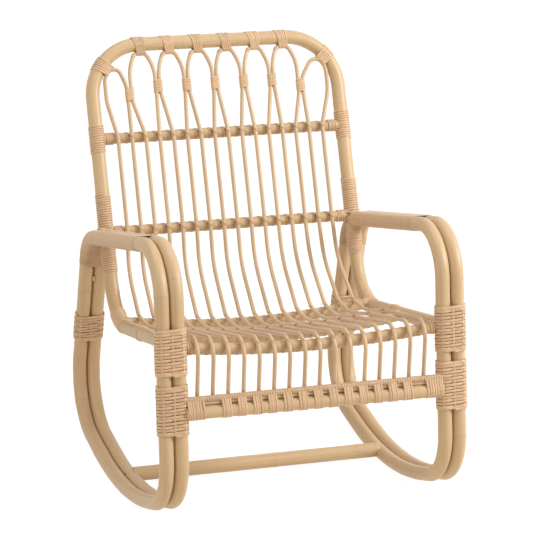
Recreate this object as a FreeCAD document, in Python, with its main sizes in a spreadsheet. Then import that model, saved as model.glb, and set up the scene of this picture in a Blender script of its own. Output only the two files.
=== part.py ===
"""Rattan rocking chair: paired bent-pole side loops, a bent back frame, dished seat bars, cane hairpins
and the strand windings that bind the joints.

Every piece is drawn in an upright drafting frame and is then set down at rest. In both frames X runs across
the chair (the sitter's right hand is at -X), -Y is the front and +Z is up, in millimetres.
"""
import FreeCAD, Part
import math
import os
import Sketcher

doc = FreeCAD.newDocument("rocking_chair")
sheet = doc.addObject("Spreadsheet::Sheet", "Dimensions")

CELLS = (
    ("pole_d", 30.0, "frame pole diameter"),
    ("half_width", 300.0, "middle of the chair to the middle of a pole pair"),
    ("pair_pitch", 30.8, "spacing of the two poles of a pair"),
    ("arm_front_y", -236.0, "loop corner where the arm meets the front leg"),
    ("arm_front_z", 590.0, ""),
    ("arm_front_r", 102.0, "bend radius there"),
    ("arm_rear_y", 294.5, "loop corner behind the arm"),
    ("arm_rear_z", 499.0, ""),
    ("arm_rear_r", 74.0, "bend radius there"),
    ("rear_foot_y", 418.5, "loop corner at the back of the runner"),
    ("rear_foot_z", 88.0, ""),
    ("rear_foot_r", 125.0, "bend radius there"),
    ("runner_y", 40.0, "where the two ends of the runner would cross"),
    ("runner_z", -10.3, ""),
    ("runner_r", 789.0, "rocking radius of the runner's middle line"),
    ("front_foot_y", -280.0, "loop corner at the front of the runner"),
    ("front_foot_z", 70.0, ""),
    ("front_foot_r", 105.0, "bend radius there"),
    ("splice_y", 60.0, "where the two ends of a loop pole meet, under the arm wrap"),
    ("splice_z", 539.2, ""),
    ("splice_end_y", 59.5, "the other end, half a millimetre away"),
    ("splice_end_z", 539.3, ""),
    ("back_half", 282.0, "middle of the chair to an upright"),
    ("recline", 18.5, "lean of the uprights, degrees"),
    ("seat_corner_y", 209.0, "corner between seat rail and upright"),
    ("seat_corner_z", 325.5, ""),
    ("seat_corner_r", 109.0, "bend radius there"),
    ("rail_front_y", -245.0, "front end of a seat rail, on the front leg"),
    ("rail_front_z", 384.5, ""),
    ("back_length", 601.0, "seat corner to the top rail, along the upright"),
    ("back_corner_r", 115.0, "bend radius of the top corners"),
    ("back_start", 189.0, "seat corner to the foot of the back frame, on the arm"),
    ("riser_top_y", 266.4, "top of a seat rail's riser, under the arm"),
    ("riser_top_z", 497.2, ""),
    ("bar_half", 272.0, "half length of a bar between the uprights or seat rails"),
    ("loop_bar_half", 276.0, "half length of a bar between the inner loops"),
    ("bar_d", 23.0, "back bar diameter"),
    ("upper_bar_up", 398.0, "seat corner to the upper bar, along the upright"),
    ("middle_bar_up", 196.0, "seat corner to the middle bar, along the upright"),
    ("seat_bar_d", 24.0, "seat bar diameter"),
    ("rear_bar_y", 145.0, "seat bars: place and dish"),
    ("rear_bar_z", 341.0, ""),
    ("rear_bar_sag", 21.5, ""),
    ("mid_bar_y", -45.0, ""),
    ("mid_bar_z", 358.5, ""),
    ("mid_bar_sag", 22.0, ""),
    ("front_bar_y", -245.0, ""),
    ("front_bar_z", 381.4, ""),
    ("front_bar_sag", 15.5, ""),
    ("apron_d", 28.0, "front apron pole diameter"),
    ("apron_y", -272.0, "front apron"),
    ("apron_z", 254.0, ""),
    ("apron_cane_d", 8.5, "thin canes along the apron's top"),
    ("stretcher_d", 31.0, "floor stretcher diameter"),
    ("stretcher_y", 90.0, "floor stretcher"),
    ("stretcher_z", 22.3, ""),
    ("cane_d", 8.5, "cane of the back and seat"),
    ("cane_pitch_back", 31.2, "spacing of the canes on the back bars"),
    ("cane_pitch_front", 32.4, "spacing of the canes on the seat and the apron"),
    ("cane_shift", -5.0, "how far the whole set of canes stands off the middle"),
    ("arch_pitch", 65.4, "spacing of the cane arches"),
    ("pair_bind_up", 506.0, "seat corner to the middle of an arch binding, along the upright"),
    ("outer_pair_bind_up", 491.0, "the same for the outermost binding on each side"),
    ("pair_forward", 8.0, "how far the bound legs stand forward of the uprights"),
    ("cane_foot_y", -262.0, "foot of a cane, behind the apron's thin canes"),
    ("cane_foot_z", 267.5, ""),
    ("front_bend", 29.6, "how far the canes' front corner stands off the front bar"),
    ("dip_y", 72.0, "lowest place of the canes on the seat, and its height over the rear bar's middle line"),
    ("dip_rise", 9.0, ""),
    ("rear_bend_y", 144.0, "corner of the canes on the rear seat bar, measured in the same way"),
    ("rear_bend_rise", 14.9, ""),
    ("knee_y", 234.0, "corner of the canes between that bar and the middle back bar"),
    ("knee_z", 430.0, ""),
    ("front_bend_r", 38.0, "bend radii of a cane's leg, from the front bar to the arch"),
    ("mid_bend_r", 300.0, ""),
    ("dip_bend_r", 200.0, ""),
    ("rear_bend_r", 45.0, ""),
    ("knee_bend_r", 170.0, ""),
    ("back_bend_r", 400.0, ""),
    ("upper_bend_r", 80.0, ""),
    ("arch_leg_r", 100.0, ""),
    ("shoulder_r", 90.0, "bend radii of an arch's shoulders and crown"),
    ("crown_r", 19.0, ""),
    ("shoulder_drop", 37.0, "an arch's shoulders below its crown"),
    ("crown_half", 12.5, "half the level top of an arch"),
    ("arch_forward", 3.0, "how far an arch's crown stands forward of the top rail"),
    ("outer_leg_x", 254.0, "outer leg of an outer arch, from the middle"),
    ("outer_leg_up", 528.0, "its shoulder, along the upright"),
    ("outer_crown_up", 547.0, "crown of an outer arch"),
    ("outer_crown_near", 12.0, "the two ends of that crown, inward of the outer leg"),
    ("outer_crown_far", 33.0, ""),
    ("outer_inner_up", 508.0, "its inner shoulder"),
    ("wrap_front_y", -98.0, "front end of an arm wrap"),
    ("wrap_front_z", 566.3, ""),
    ("wrap_rear_y", 313.2, "its end on the rear leg"),
    ("wrap_rear_z", 437.0, ""),
    ("upper_band_z", 332.0, "woven bands: foot and length"),
    ("upper_band_length", 93.0, ""),
    ("lower_band_z", 211.5, ""),
    ("lower_band_length", 100.0, ""),
    ("rear_band_z", 258.0, ""),
    ("rear_band_length", 62.0, ""),
    ("wedge_d", 6.0, "wedge between the rear leg poles"),
    ("wedge_length", 10.0, ""),
    ("wedge_z", 400.0, ""),
    ("above_arm_up", 250.5, "windings on the uprights: middle and turns"),
    ("above_arm_turns", 12, ""),
    ("below_arm_up", 127.0, ""),
    ("below_arm_turns", 8, ""),
    ("rail_winding_y", 10.0, "winding on a seat rail"),
    ("bar_end_x", 254.5, "windings at the ends of the back bars"),
    ("front_end_x", 260.5, "windings at the ends of the front bar"),
    ("corner_winding_down", 16.0, "how far the seat corner windings lie below the middle of the bend"),
    ("corner_binding_angle", 38.0, "binding on a top corner, degrees above level"),
    ("strand_d", 3.0, "binding strand"),
    ("strand_pitch", 4.6, "spacing of its turns"),
    ("tie_d", 2.4, "strand of the small ties"),
    ("tie_pitch", 3.0, "spacing of its turns"),
    ("close_pitch", 3.9, "closer spacing of the turns round the apron and the top rail"),
    ("crown_reach", 5.9, "half the way that a rail binding reaches in round an arch's crown"),
    ("band_skin", 1.6, "thickness of a woven band"),
    ("screw_d", 4.5, "frame screw shank"),
    ("screw_head_d", 8.0, "frame screw head"),
    ("screw_length", 46.0, "frame screw, head included"),
    ("screw_head_h", 3.0, "head height"),
    ("screw_sink", 1.0, "how far a head is sunk below the pole's surface"),
    ("leg_screw_low", 255.0, "heights and depths of the screws that join a pair of poles"),
    ("leg_screw_high", 410.0, ""),
    ("rear_screw_z", 280.0, ""),
    ("arm_screw_y", -40.0, ""),
    ("rest_lean", 3.7, "how far the chair rocks back at rest, degrees"),
    ("rest_shift_y", -98.5, "brings the middle of the chair to the origin"),
)
for row, (alias, value, note) in enumerate(CELLS, start=1):
    sheet.set("A%d" % row, note or alias)
    sheet.set("B%d" % row, str(value))
    sheet.setAlias("B%d" % row, alias)
doc.recompute()

CANES = 16
ARCHES = CANES // 2
SIDES = (("left", -1), ("right", 1))


def size(alias):
    """A driving dimension."""
    return float(sheet.get(alias))


def cell(alias):
    """The same dimension as the text of an expression."""
    return "Dimensions." + alias


def vec(x, y, z):
    return FreeCAD.Vector(x, y, z)


def turned(axis, degrees):
    return FreeCAD.Rotation(axis, degrees)


AXIS_X = vec(1, 0, 0)
AXIS_Y = vec(0, 1, 0)
AXIS_Z = vec(0, 0, 1)
ALONG_X = turned(AXIS_Y, 90)
POLE_R = size("pole_d") / 2
LEAN = math.radians(size("rest_lean"))


def rocker_centre():
    """Centre of the runner's arc, in the drafting frame (y, z)."""
    corner = vec(0, size("runner_y"), size("runner_z"))
    to_rear = vec(0, size("rear_foot_y"), size("rear_foot_z")) - corner
    to_front = vec(0, size("front_foot_y"), size("front_foot_z")) - corner
    half = to_rear.getAngle(to_front) / 2
    middle = to_rear.normalize() + to_front.normalize()
    return corner + middle.normalize() * (size("runner_r") / math.sin(half))


CENTRE = rocker_centre()
FLOOR_DROP = CENTRE.z * math.cos(LEAN) - CENTRE.y * math.sin(LEAN) - size("runner_r") - POLE_R
REST = FreeCAD.Placement(
    vec(0, size("rest_shift_y"), -FLOOR_DROP), turned(AXIS_X, -size("rest_lean"))
)


def at(point, rotation=None):
    """A place given in the drafting frame, set down at rest."""
    return REST.multiply(FreeCAD.Placement(point, rotation or FreeCAD.Rotation()))


def feature(label, shape):
    """A sub-part whose shape is swept or copied, set down at rest."""
    piece = doc.addObject("Part::Feature", label)
    piece.Shape = shape
    piece.Placement = REST
    piece.Label = label
    return piece


def cylinder(label, diameter, length, point):
    """A straight bar along X, centred on the chair."""
    bar = doc.addObject("Part::Cylinder", label)
    bar.setExpression("Radius", diameter + " / 2")
    bar.setExpression("Height", length)
    doc.recompute()
    bar.Placement = at(point - vec(bar.Height.Value / 2, 0, 0), ALONG_X)
    bar.Label = label
    return bar


def cut(label, base, tools):
    """Base with the tools taken out of it."""
    group = doc.addObject("Part::Compound", label + "_tools")
    group.Links = tools
    piece = doc.addObject("Part::Cut", label)
    piece.Base = base
    piece.Tool = group
    piece.Label = label
    return piece


# Swept bodies


def origin_plane(body, role):
    return next(f for f in body.Origin.OriginFeatures if f.Role == role)


def bind(sketch, constraint, expression):
    """Adds a size to a sketch and ties it to an expression."""
    index = sketch.addConstraint(constraint)
    sketch.setExpression("Constraints[%d]" % index, expression)


def path_sketch(body, role, offset, points, radii):
    """Lines through named points, with the corners between them rounded."""
    sketch = body.newObject("Sketcher::SketchObject", body.Name + "_path")
    sketch.AttachmentSupport = [(origin_plane(body, role), "")]
    sketch.MapMode = "FlatFace"
    if offset:
        sketch.setExpression("AttachmentOffset.Base.z", offset)
    places = [vec(size_of(a), size_of(b), 0) for a, b in points]
    lines = []
    for start, end in zip(places, places[1:]):
        lines.append(sketch.addGeometry(Part.LineSegment(start, end)))
    for first, second in zip(lines, lines[1:]):
        sketch.addConstraint(Sketcher.Constraint("Coincident", first, 2, second, 1))
    for k, (a, b) in enumerate(points):
        line, end = (lines[k], 1) if k < len(lines) else (lines[-1], 2)
        bind(sketch, Sketcher.Constraint("DistanceX", -1, 1, line, end, places[k].x), signed(a))
        bind(sketch, Sketcher.Constraint("DistanceY", -1, 1, line, end, places[k].y), signed(b))
    for k, alias in enumerate(radii):
        corner = places[k + 1]
        near = corner + (places[k] - corner).normalize()
        far = corner + (places[k + 2] - corner).normalize()
        sketch.fillet(lines[k], lines[k + 1], near, far, size(alias), True, True)
        arc = len(sketch.Geometry) - 1
        while sketch.Geometry[arc].TypeId != "Part::GeomArcOfCircle":
            arc -= 1
        bind(sketch, Sketcher.Constraint("Radius", arc, size(alias)), cell(alias))
    return sketch


def size_of(name):
    """A dimension, or its opposite where the name has a minus."""
    return -size(name[1:]) if name.startswith("-") else size(name)


def signed(name):
    return "-" + cell(name[1:]) if name.startswith("-") else cell(name)


def start_profile(body, path):
    """An empty sketch square to the start of the path."""
    sketch = body.newObject("Sketcher::SketchObject", body.Name + "_section")
    sketch.AttachmentSupport = [(path, "Edge1")]
    sketch.MapMode = "NormalToEdge"
    sketch.MapPathParameter = 0.0
    return sketch


def sweep(body, path, section):
    doc.recompute()
    pipe = body.newObject("PartDesign::AdditivePipe", body.Name + "_sweep")
    pipe.Profile = section
    pipe.Spine = (path, [])
    return pipe


def bent_pole(label, role, offset, points, radii, diameter):
    """A round pole bent along a flat path."""
    body = doc.addObject("PartDesign::Body", label)
    path = path_sketch(body, role, offset, points, radii)
    doc.recompute()
    section = start_profile(body, path)
    circle = section.addGeometry(Part.Circle(vec(0, 0, 0), AXIS_Z, size(diameter) / 2))
    section.addConstraint(Sketcher.Constraint("Coincident", circle, 3, -1, 1))
    bind(section, Sketcher.Constraint("Radius", circle, size(diameter) / 2), cell(diameter) + " / 2")
    sweep(body, path, section)
    body.Placement = REST
    body.Label = label
    return body


def oblong(sketch, half_gap, radius, half_gap_text, radius_text):
    """A slot outline round two poles that lie side by side along the sketch's x."""
    right = vec(half_gap, 0, 0)
    quarter = math.pi / 2
    geometry = (
        Part.ArcOfCircle(Part.Circle(right, AXIS_Z, radius), -quarter, quarter),
        Part.LineSegment(vec(half_gap, radius, 0), vec(-half_gap, radius, 0)),
        Part.ArcOfCircle(Part.Circle(-right, AXIS_Z, radius), quarter, 3 * quarter),
        Part.LineSegment(vec(-half_gap, -radius, 0), vec(half_gap, -radius, 0)),
    )
    ids = [sketch.addGeometry(g) for g in geometry]
    for first, second in zip(ids, ids[1:] + ids[:1]):
        sketch.addConstraint(Sketcher.Constraint("Tangent", first, 2, second, 1))
    sketch.addConstraint(Sketcher.Constraint("Symmetric", ids[0], 3, ids[2], 3, -1, 1))
    sketch.addConstraint(Sketcher.Constraint("PointOnObject", ids[0], 3, -1))
    bind(sketch, Sketcher.Constraint("DistanceX", -1, 1, ids[0], 3, half_gap), half_gap_text)
    bind(sketch, Sketcher.Constraint("Radius", ids[0], radius), radius_text)


BAND_R = POLE_R + size("band_skin")
BAND_R_TEXT = "%s / 2 + %s" % (cell("pole_d"), cell("band_skin"))
PAIR_HALF = size("pair_pitch") / 2
PAIR_HALF_TEXT = cell("pair_pitch") + " / 2"


def straight_band(label, point, rotation, length):
    """A plain sleeve round both poles of a leg; the weave is left off."""
    body = doc.addObject("PartDesign::Body", label + "_blank")
    sketch = body.newObject("Sketcher::SketchObject", label + "_section")
    sketch.AttachmentSupport = [(origin_plane(body, "XY_Plane"), "")]
    sketch.MapMode = "FlatFace"
    oblong(sketch, PAIR_HALF, BAND_R, PAIR_HALF_TEXT, BAND_R_TEXT)
    pad = body.newObject("PartDesign::Pad", label + "_pad")
    pad.Profile = sketch
    pad.setExpression("Length", length)
    body.Placement = at(point, rotation)
    return body


def arm_sleeve(label, offset):
    """The close wrap round both poles of an arm, its rear bend and the top of the rear leg."""
    body = doc.addObject("PartDesign::Body", label + "_blank")
    points = (("wrap_front_y", "wrap_front_z"), ("arm_rear_y", "arm_rear_z"), ("wrap_rear_y", "wrap_rear_z"))
    path = path_sketch(body, "YZ_Plane", offset, points, ("arm_rear_r",))
    doc.recompute()
    section = start_profile(body, path)
    oblong(section, PAIR_HALF, BAND_R, PAIR_HALF_TEXT, BAND_R_TEXT)
    sweep(body, path, section)
    body.Placement = REST
    return body


# Tubes along three-dimensional paths

BEND_SHARE = 0.48
STRAIGHT = 1e-7


def arc_to(start, tangent, end):
    """An arc from start, along tangent, to end."""
    chord = end - start
    along = vec(*chord).normalize()
    across = tangent - along * tangent.dot(along)
    if across.Length < STRAIGHT:
        return Part.LineSegment(start, end).toShape()
    rise = chord.Length / 2 * math.tan(tangent.getAngle(along) / 2)
    return Part.Arc(start, start + chord * 0.5 + across.normalize() * rise, end).toShape()


def rounded_edges(points, radii):
    """Straight runs joined by tangent arcs, none longer than its runs allow."""
    edges = []
    last = points[0]
    for k, radius in enumerate(radii, start=1):
        back = points[k - 1] - points[k]
        ahead = points[k + 1] - points[k]
        half_turn = (math.pi - back.getAngle(ahead)) / 2
        longest = BEND_SHARE * min(back.Length, ahead.Length)
        reach = min(radius * math.tan(half_turn), longest)
        first = points[k] + back.normalize() * reach
        second = points[k] + ahead.normalize() * reach
        edges.append(Part.LineSegment(last, first).toShape())
        edges.append(arc_to(first, back * -1, second))
        last = second
    edges.append(Part.LineSegment(last, points[-1]).toShape())
    return edges


def tube(edges, start, tangent, diameter):
    """A round solid along joined edges."""
    shell = Part.BRepOffsetAPI.MakePipeShell(Part.Wire(edges))
    shell.add(Part.Wire(Part.Circle(start, tangent, diameter / 2).toShape()))
    shell.build()
    shell.makeSolid()
    return shell.shape()


def biarc(start, start_way, end, end_way):
    """Two arcs that leave start along start_way and reach end along end_way."""
    chord = end - start
    a = 2 * (1 - start_way.dot(end_way))
    b = 2 * chord.dot(start_way + end_way)
    reach = (math.sqrt(b * b + 4 * a * chord.dot(chord)) - b) / (2 * a)
    joint = (start + start_way * reach + end - end_way * reach) * 0.5
    return [arc_to(start, start_way, joint), arc_to(end, end_way * -1, joint)]


SAMPLES_PER_TURN = 24
LEAST_GAP = 0.4
ROUNDING = 1e-9
SHORT_STEP = 1e-4
gaps = {}


def winding(label, place, turns, pitch, wire, radius, half_gap=0.0):
    """One unbroken strand wound round an axis, or round two poles half_gap either side of it.

    place(s) gives the axis point at a distance s along it and the two directions across it.
    """
    lap = 2 * math.pi * radius + 4 * half_gap
    arc_share = math.pi * radius / lap
    run_share = 2 * half_gap / lap

    def point(q):
        whole = math.floor(q + ROUNDING)
        part = q - whole
        if part <= arc_share:
            angle = -math.pi / 2 + math.pi * part / arc_share
            x, y = half_gap + radius * math.cos(angle), radius * math.sin(angle)
        elif part <= arc_share + run_share:
            x, y = half_gap - 2 * half_gap * (part - arc_share) / run_share, radius
        elif part <= 2 * arc_share + run_share:
            angle = math.pi / 2 + math.pi * (part - arc_share - run_share) / arc_share
            x, y = -half_gap + radius * math.cos(angle), radius * math.sin(angle)
        else:
            x, y = -half_gap + 2 * half_gap * (part - 2 * arc_share - run_share) / run_share, -radius
        origin, across, up = place((q - turns / 2) * pitch)
        return origin + across * x + up * y

    def way(q):
        return (point(q + SHORT_STEP) - point(q - SHORT_STEP)).normalize()

    stations = []
    for turn in range(turns):
        stations += [(turn, turn + arc_share, True), (turn + arc_share, turn + arc_share + run_share, False)]
        half = turn + arc_share + run_share
        stations += [(half, half + arc_share, True), (half + arc_share, turn + 1, False)]
    first, last = point(0), point(turns)
    edges = [Part.LineSegment(first - way(0) * wire, first).toShape()]
    for start, end, round_end in stations:
        if round_end:
            edges += biarc(point(start), way(start), point(end), way(end))
        elif half_gap:
            edges.append(Part.LineSegment(point(start), point(end)).toShape())
    edges.append(Part.LineSegment(last, last + way(turns) * wire).toShape())
    measure_gap(label, [point(k / SAMPLES_PER_TURN) for k in range(turns * SAMPLES_PER_TURN + 1)], wire)
    return tube(edges, first - way(0) * wire, way(0), wire)


def measure_gap(label, points, wire):
    """Keeps the least gap between the turns of a winding."""
    half = SAMPLES_PER_TURN // 2
    least = min(
        points[i].distanceToPoint(points[j])
        for i in range(len(points))
        for j in range(i + half, min(i + 3 * half, len(points)))
    )
    gaps[label] = min(gaps.get(label, least - wire), least - wire)


# Frame poles

LOOP_POINTS = (
    ("splice_y", "splice_z"),
    ("arm_rear_y", "arm_rear_z"),
    ("rear_foot_y", "rear_foot_z"),
    ("runner_y", "runner_z"),
    ("front_foot_y", "front_foot_z"),
    ("arm_front_y", "arm_front_z"),
    ("splice_end_y", "splice_end_z"),
)
LOOP_RADII = ("arm_rear_r", "rear_foot_r", "runner_r", "front_foot_r", "arm_front_r")
RAIL_POINTS = (
    ("rail_front_y", "rail_front_z"),
    ("seat_corner_y", "seat_corner_z"),
    ("riser_top_y", "riser_top_z"),
)
BACK_POINTS = (
    ("-back_half", "back_start"),
    ("-back_half", "back_length"),
    ("back_half", "back_length"),
    ("back_half", "back_start"),
)

SEAT_CORNER = vec(0, size("seat_corner_y"), size("seat_corner_z"))
RECLINE = math.radians(size("recline"))
BACK_UP = vec(0, math.sin(RECLINE), math.cos(RECLINE))
BACK_FRONT = vec(0, -math.cos(RECLINE), math.sin(RECLINE))
RAIL_WAY = (vec(0, size("rail_front_y"), size("rail_front_z")) - SEAT_CORNER).normalize()
FRONT_LEG = vec(0, size("front_foot_y"), size("front_foot_z"))
FRONT_LEG_WAY = (vec(0, size("arm_front_y"), size("arm_front_z")) - FRONT_LEG).normalize()
REAR_LEG = vec(0, size("rear_foot_y"), size("rear_foot_z"))
REAR_LEG_WAY = (vec(0, size("arm_rear_y"), size("arm_rear_z")) - REAR_LEG).normalize()
ARM_FRONT = vec(0, size("arm_front_y"), size("arm_front_z"))
ARM_WAY = (vec(0, size("arm_rear_y"), size("arm_rear_z")) - ARM_FRONT).normalize()
PAIR_MIDDLE = size("half_width")


def on_back(x, up, forward=0.0):
    """A point of the back: across, up the uprights from the seat corner, and forward of them."""
    return SEAT_CORNER + BACK_UP * up + BACK_FRONT * forward + AXIS_X * x


def at_height(start, way, z):
    """The point of a straight leg at a height."""
    return start + way * ((z - start.z) / way.z)


def at_depth(start, way, y):
    """The point of an arm or rail at a depth."""
    return start + way * ((y - start.y) / way.y)


loop_blanks = {}
rail_blanks = {}
for side, sign in SIDES:
    for name, offset in (("outer", "+"), ("inner", "-")):
        place = "%d * (%s %s %s)" % (sign, cell("half_width"), offset, PAIR_HALF_TEXT)
        label = "%s_%s_loop_blank" % (side, name)
        loop_blanks[side, name] = bent_pole(label, "YZ_Plane", place, LOOP_POINTS, LOOP_RADII, "pole_d")
    place = "%d * %s" % (sign, cell("back_half"))
    label = side + "_seat_rail_blank"
    rail_blanks[side] = bent_pole(label, "YZ_Plane", place, RAIL_POINTS, ("seat_corner_r",), "pole_d")
back_blank = bent_pole(
    "back_frame_blank", "XZ_Plane", "", BACK_POINTS, ("back_corner_r", "back_corner_r"), "pole_d"
)
back_blank.Placement = at(SEAT_CORNER, turned(AXIS_X, -size("recline")))

# Bars

UPPER_BAR = on_back(0, size("upper_bar_up"))
MIDDLE_BAR = on_back(0, size("middle_bar_up"))
APRON = vec(0, size("apron_y"), size("apron_z"))
STRETCHER = vec(0, size("stretcher_y"), size("stretcher_z"))
BAR_LENGTH = "2 * " + cell("bar_half")
BETWEEN_LOOPS = "2 * " + cell("loop_bar_half")
bar_blanks = {
    "upper_back_bar": cylinder("upper_back_bar_blank", cell("bar_d"), BAR_LENGTH, UPPER_BAR),
    "middle_back_bar": cylinder("middle_back_bar_blank", cell("bar_d"), BAR_LENGTH, MIDDLE_BAR),
    "apron_pole": cylinder("apron_pole_blank", cell("apron_d"), BETWEEN_LOOPS, APRON),
    "floor_stretcher": cylinder("floor_stretcher_blank", cell("stretcher_d"), BETWEEN_LOOPS, STRETCHER),
}


def seat_bar_centre(bar, x):
    """The middle line of a dished seat bar."""
    dish = size(bar + "_bar_sag") * (1 - (x / size("bar_half")) ** 2)
    return vec(x, size(bar + "_bar_y"), size(bar + "_bar_z") - dish)


def dished_bar(label, bar):
    """A bar that sags to the middle in one arc."""
    half = size("bar_half")
    sag = size(bar + "_bar_sag")
    radius = (half ** 2 + sag ** 2) / (2 * sag)
    spread = math.asin(half / radius)
    body = doc.addObject("PartDesign::Body", label)
    path = body.newObject("Sketcher::SketchObject", label + "_path")
    path.AttachmentSupport = [(origin_plane(body, "XZ_Plane"), "")]
    path.MapMode = "FlatFace"
    ring = Part.Circle(vec(0, radius - sag, 0), AXIS_Z, radius)
    down = -math.pi / 2
    arc = path.addGeometry(Part.ArcOfCircle(ring, down - spread, down + spread))
    path.addConstraint(Sketcher.Constraint("Symmetric", arc, 1, arc, 2, -1, 1))
    path.addConstraint(Sketcher.Constraint("PointOnObject", arc, 2, -1))
    bind(path, Sketcher.Constraint("DistanceX", -1, 1, arc, 2, half), cell("bar_half"))
    sag_text = cell(bar + "_bar_sag")
    radius_text = "(%s ^ 2 + %s ^ 2) / (2 * %s)" % (cell("bar_half"), sag_text, sag_text)
    bind(path, Sketcher.Constraint("Radius", arc, radius), radius_text)
    doc.recompute()
    section = start_profile(body, path)
    circle = section.addGeometry(Part.Circle(vec(0, 0, 0), AXIS_Z, size("seat_bar_d") / 2))
    section.addConstraint(Sketcher.Constraint("Coincident", circle, 3, -1, 1))
    diameter = cell("seat_bar_d") + " / 2"
    bind(section, Sketcher.Constraint("Radius", circle, size("seat_bar_d") / 2), diameter)
    sweep(body, path, section)
    body.Placement = at(vec(0, size(bar + "_bar_y"), size(bar + "_bar_z")))
    return body


SEAT_BAR_LABELS = {"rear": "seat_rear_bar", "mid": "seat_middle_bar", "front": "seat_front_bar"}
for bar, label in SEAT_BAR_LABELS.items():
    bar_blanks[label] = dished_bar(label + "_blank", bar)

# Screws: through both poles of a pair, and through a pole into the end of a bar


def screw_body():
    """One countersunk screw, its head's top at the origin and its point down -X."""
    body = doc.addObject("PartDesign::Body", "screw_pattern")
    sketch = body.newObject("Sketcher::SketchObject", "screw_profile")
    sketch.AttachmentSupport = [(origin_plane(body, "XY_Plane"), "")]
    sketch.MapMode = "FlatFace"
    head_r, shank_r = size("screw_head_d") / 2, size("screw_d") / 2
    head_h, length = size("screw_head_h"), size("screw_length")
    corners = ((0, 0), (0, head_r), (-head_h, shank_r), (-length + head_h, shank_r), (-length, 0))
    outline = [vec(x, y, 0) for x, y in corners]
    lines = []
    for start, end in zip(outline, outline[1:] + outline[:1]):
        lines.append(sketch.addGeometry(Part.LineSegment(start, end)))
    for first, second in zip(lines, lines[1:] + lines[:1]):
        sketch.addConstraint(Sketcher.Constraint("Coincident", first, 2, second, 1))
    sketch.addConstraint(Sketcher.Constraint("Coincident", lines[0], 1, -1, 1))
    sketch.addConstraint(Sketcher.Constraint("PointOnObject", lines[-1], 1, -1))
    sketch.addConstraint(Sketcher.Constraint("Vertical", lines[0]))
    sketch.addConstraint(Sketcher.Constraint("Horizontal", lines[2]))
    bind(sketch, Sketcher.Constraint("DistanceY", -1, 1, lines[0], 2, head_r), cell("screw_head_d") + " / 2")
    bind(sketch, Sketcher.Constraint("DistanceY", -1, 1, lines[1], 2, shank_r), cell("screw_d") + " / 2")
    bind(sketch, Sketcher.Constraint("DistanceX", lines[1], 2, -1, 1, head_h), cell("screw_head_h"))
    bind(sketch, Sketcher.Constraint("DistanceX", lines[-1], 1, -1, 1, length), cell("screw_length"))
    shank = "%s - %s" % (cell("screw_length"), cell("screw_head_h"))
    bind(sketch, Sketcher.Constraint("DistanceX", lines[2], 2, -1, 1, length - head_h), shank)
    turn = body.newObject("PartDesign::Revolution", "screw_turned")
    turn.Profile = sketch
    turn.ReferenceAxis = (sketch, ["H_Axis"])
    turn.Angle = 360
    doc.recompute()
    return body


SCREW = screw_body()
HEAD_SINK = size("screw_sink")


def screws(label, places, head_x):
    """A group of screws driven inward along X, one on each side of the chair at each place."""
    copies = []
    for point in places:
        for _, sign in SIDES:
            copy = SCREW.Shape.copy()
            facing = turned(AXIS_Z, 0 if sign > 0 else 180)
            copy.Placement = FreeCAD.Placement(vec(sign * head_x, point.y, point.z), facing)
            copies.append(copy)
    return feature(label, Part.makeCompound(copies))


loop_screws = screws(
    "loop_screws",
    (
        at_height(FRONT_LEG, FRONT_LEG_WAY, size("leg_screw_low")),
        at_height(FRONT_LEG, FRONT_LEG_WAY, size("leg_screw_high")),
        at_height(REAR_LEG, REAR_LEG_WAY, size("rear_screw_z")),
        at_depth(ARM_FRONT, ARM_WAY, size("arm_screw_y")),
    ),
    PAIR_MIDDLE + PAIR_HALF + POLE_R - HEAD_SINK,
)
bar_screws = screws(
    "bar_screws",
    (UPPER_BAR, seat_bar_centre("rear", size("bar_half")), seat_bar_centre("mid", size("bar_half"))),
    size("back_half") + POLE_R - HEAD_SINK,
)
leg_screws = screws(
    "leg_screws",
    (MIDDLE_BAR, seat_bar_centre("front", size("bar_half")), APRON, STRETCHER),
    PAIR_MIDDLE - PAIR_HALF + POLE_R - HEAD_SINK,
)
SCREWS = [loop_screws, bar_screws, leg_screws]

# Drilled and saddle-cut frame

nodes = list(SCREWS)
loops = {}
for (side, name), blank in loop_blanks.items():
    loops[side, name] = cut("%s_%s_loop" % (side, name), blank, SCREWS)
inner_loops = [loop_blanks["left", "inner"], loop_blanks["right", "inner"]]
back_frame = cut("back_frame", back_blank, inner_loops + SCREWS)
rails = {}
for side, blank in rail_blanks.items():
    rails[side] = cut(side + "_seat_rail", blank, [loop_blanks[side, "inner"]] + SCREWS)
POLES = inner_loops + [back_blank] + list(rail_blanks.values())
bars = {label: cut(label, blank, POLES + SCREWS) for label, blank in bar_blanks.items()}
nodes += list(loops.values()) + [back_frame] + list(rails.values()) + list(bars.values())

CANE_R = size("cane_d") / 2
APRON_CANE_R = size("apron_cane_d") / 2
TOUCH = 0.1
APRON_CANE_RISE = size("apron_d") / 2 + APRON_CANE_R + TOUCH
APRON_CANE_STEP = 2 * APRON_CANE_R + TOUCH
apron_canes = []
for label, steps in (("apron_middle_cane", 0), ("apron_top_cane", 1)):
    point = APRON + vec(0, 0, APRON_CANE_RISE + steps * APRON_CANE_STEP)
    blank = cylinder(label + "_blank", cell("apron_cane_d"), BETWEEN_LOOPS, point)
    apron_canes.append(blank)
    nodes.append(cut(label, blank, inner_loops))

# Cane hairpins: up from the apron, over the seat bars, up the back, round an arch and down again

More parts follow.
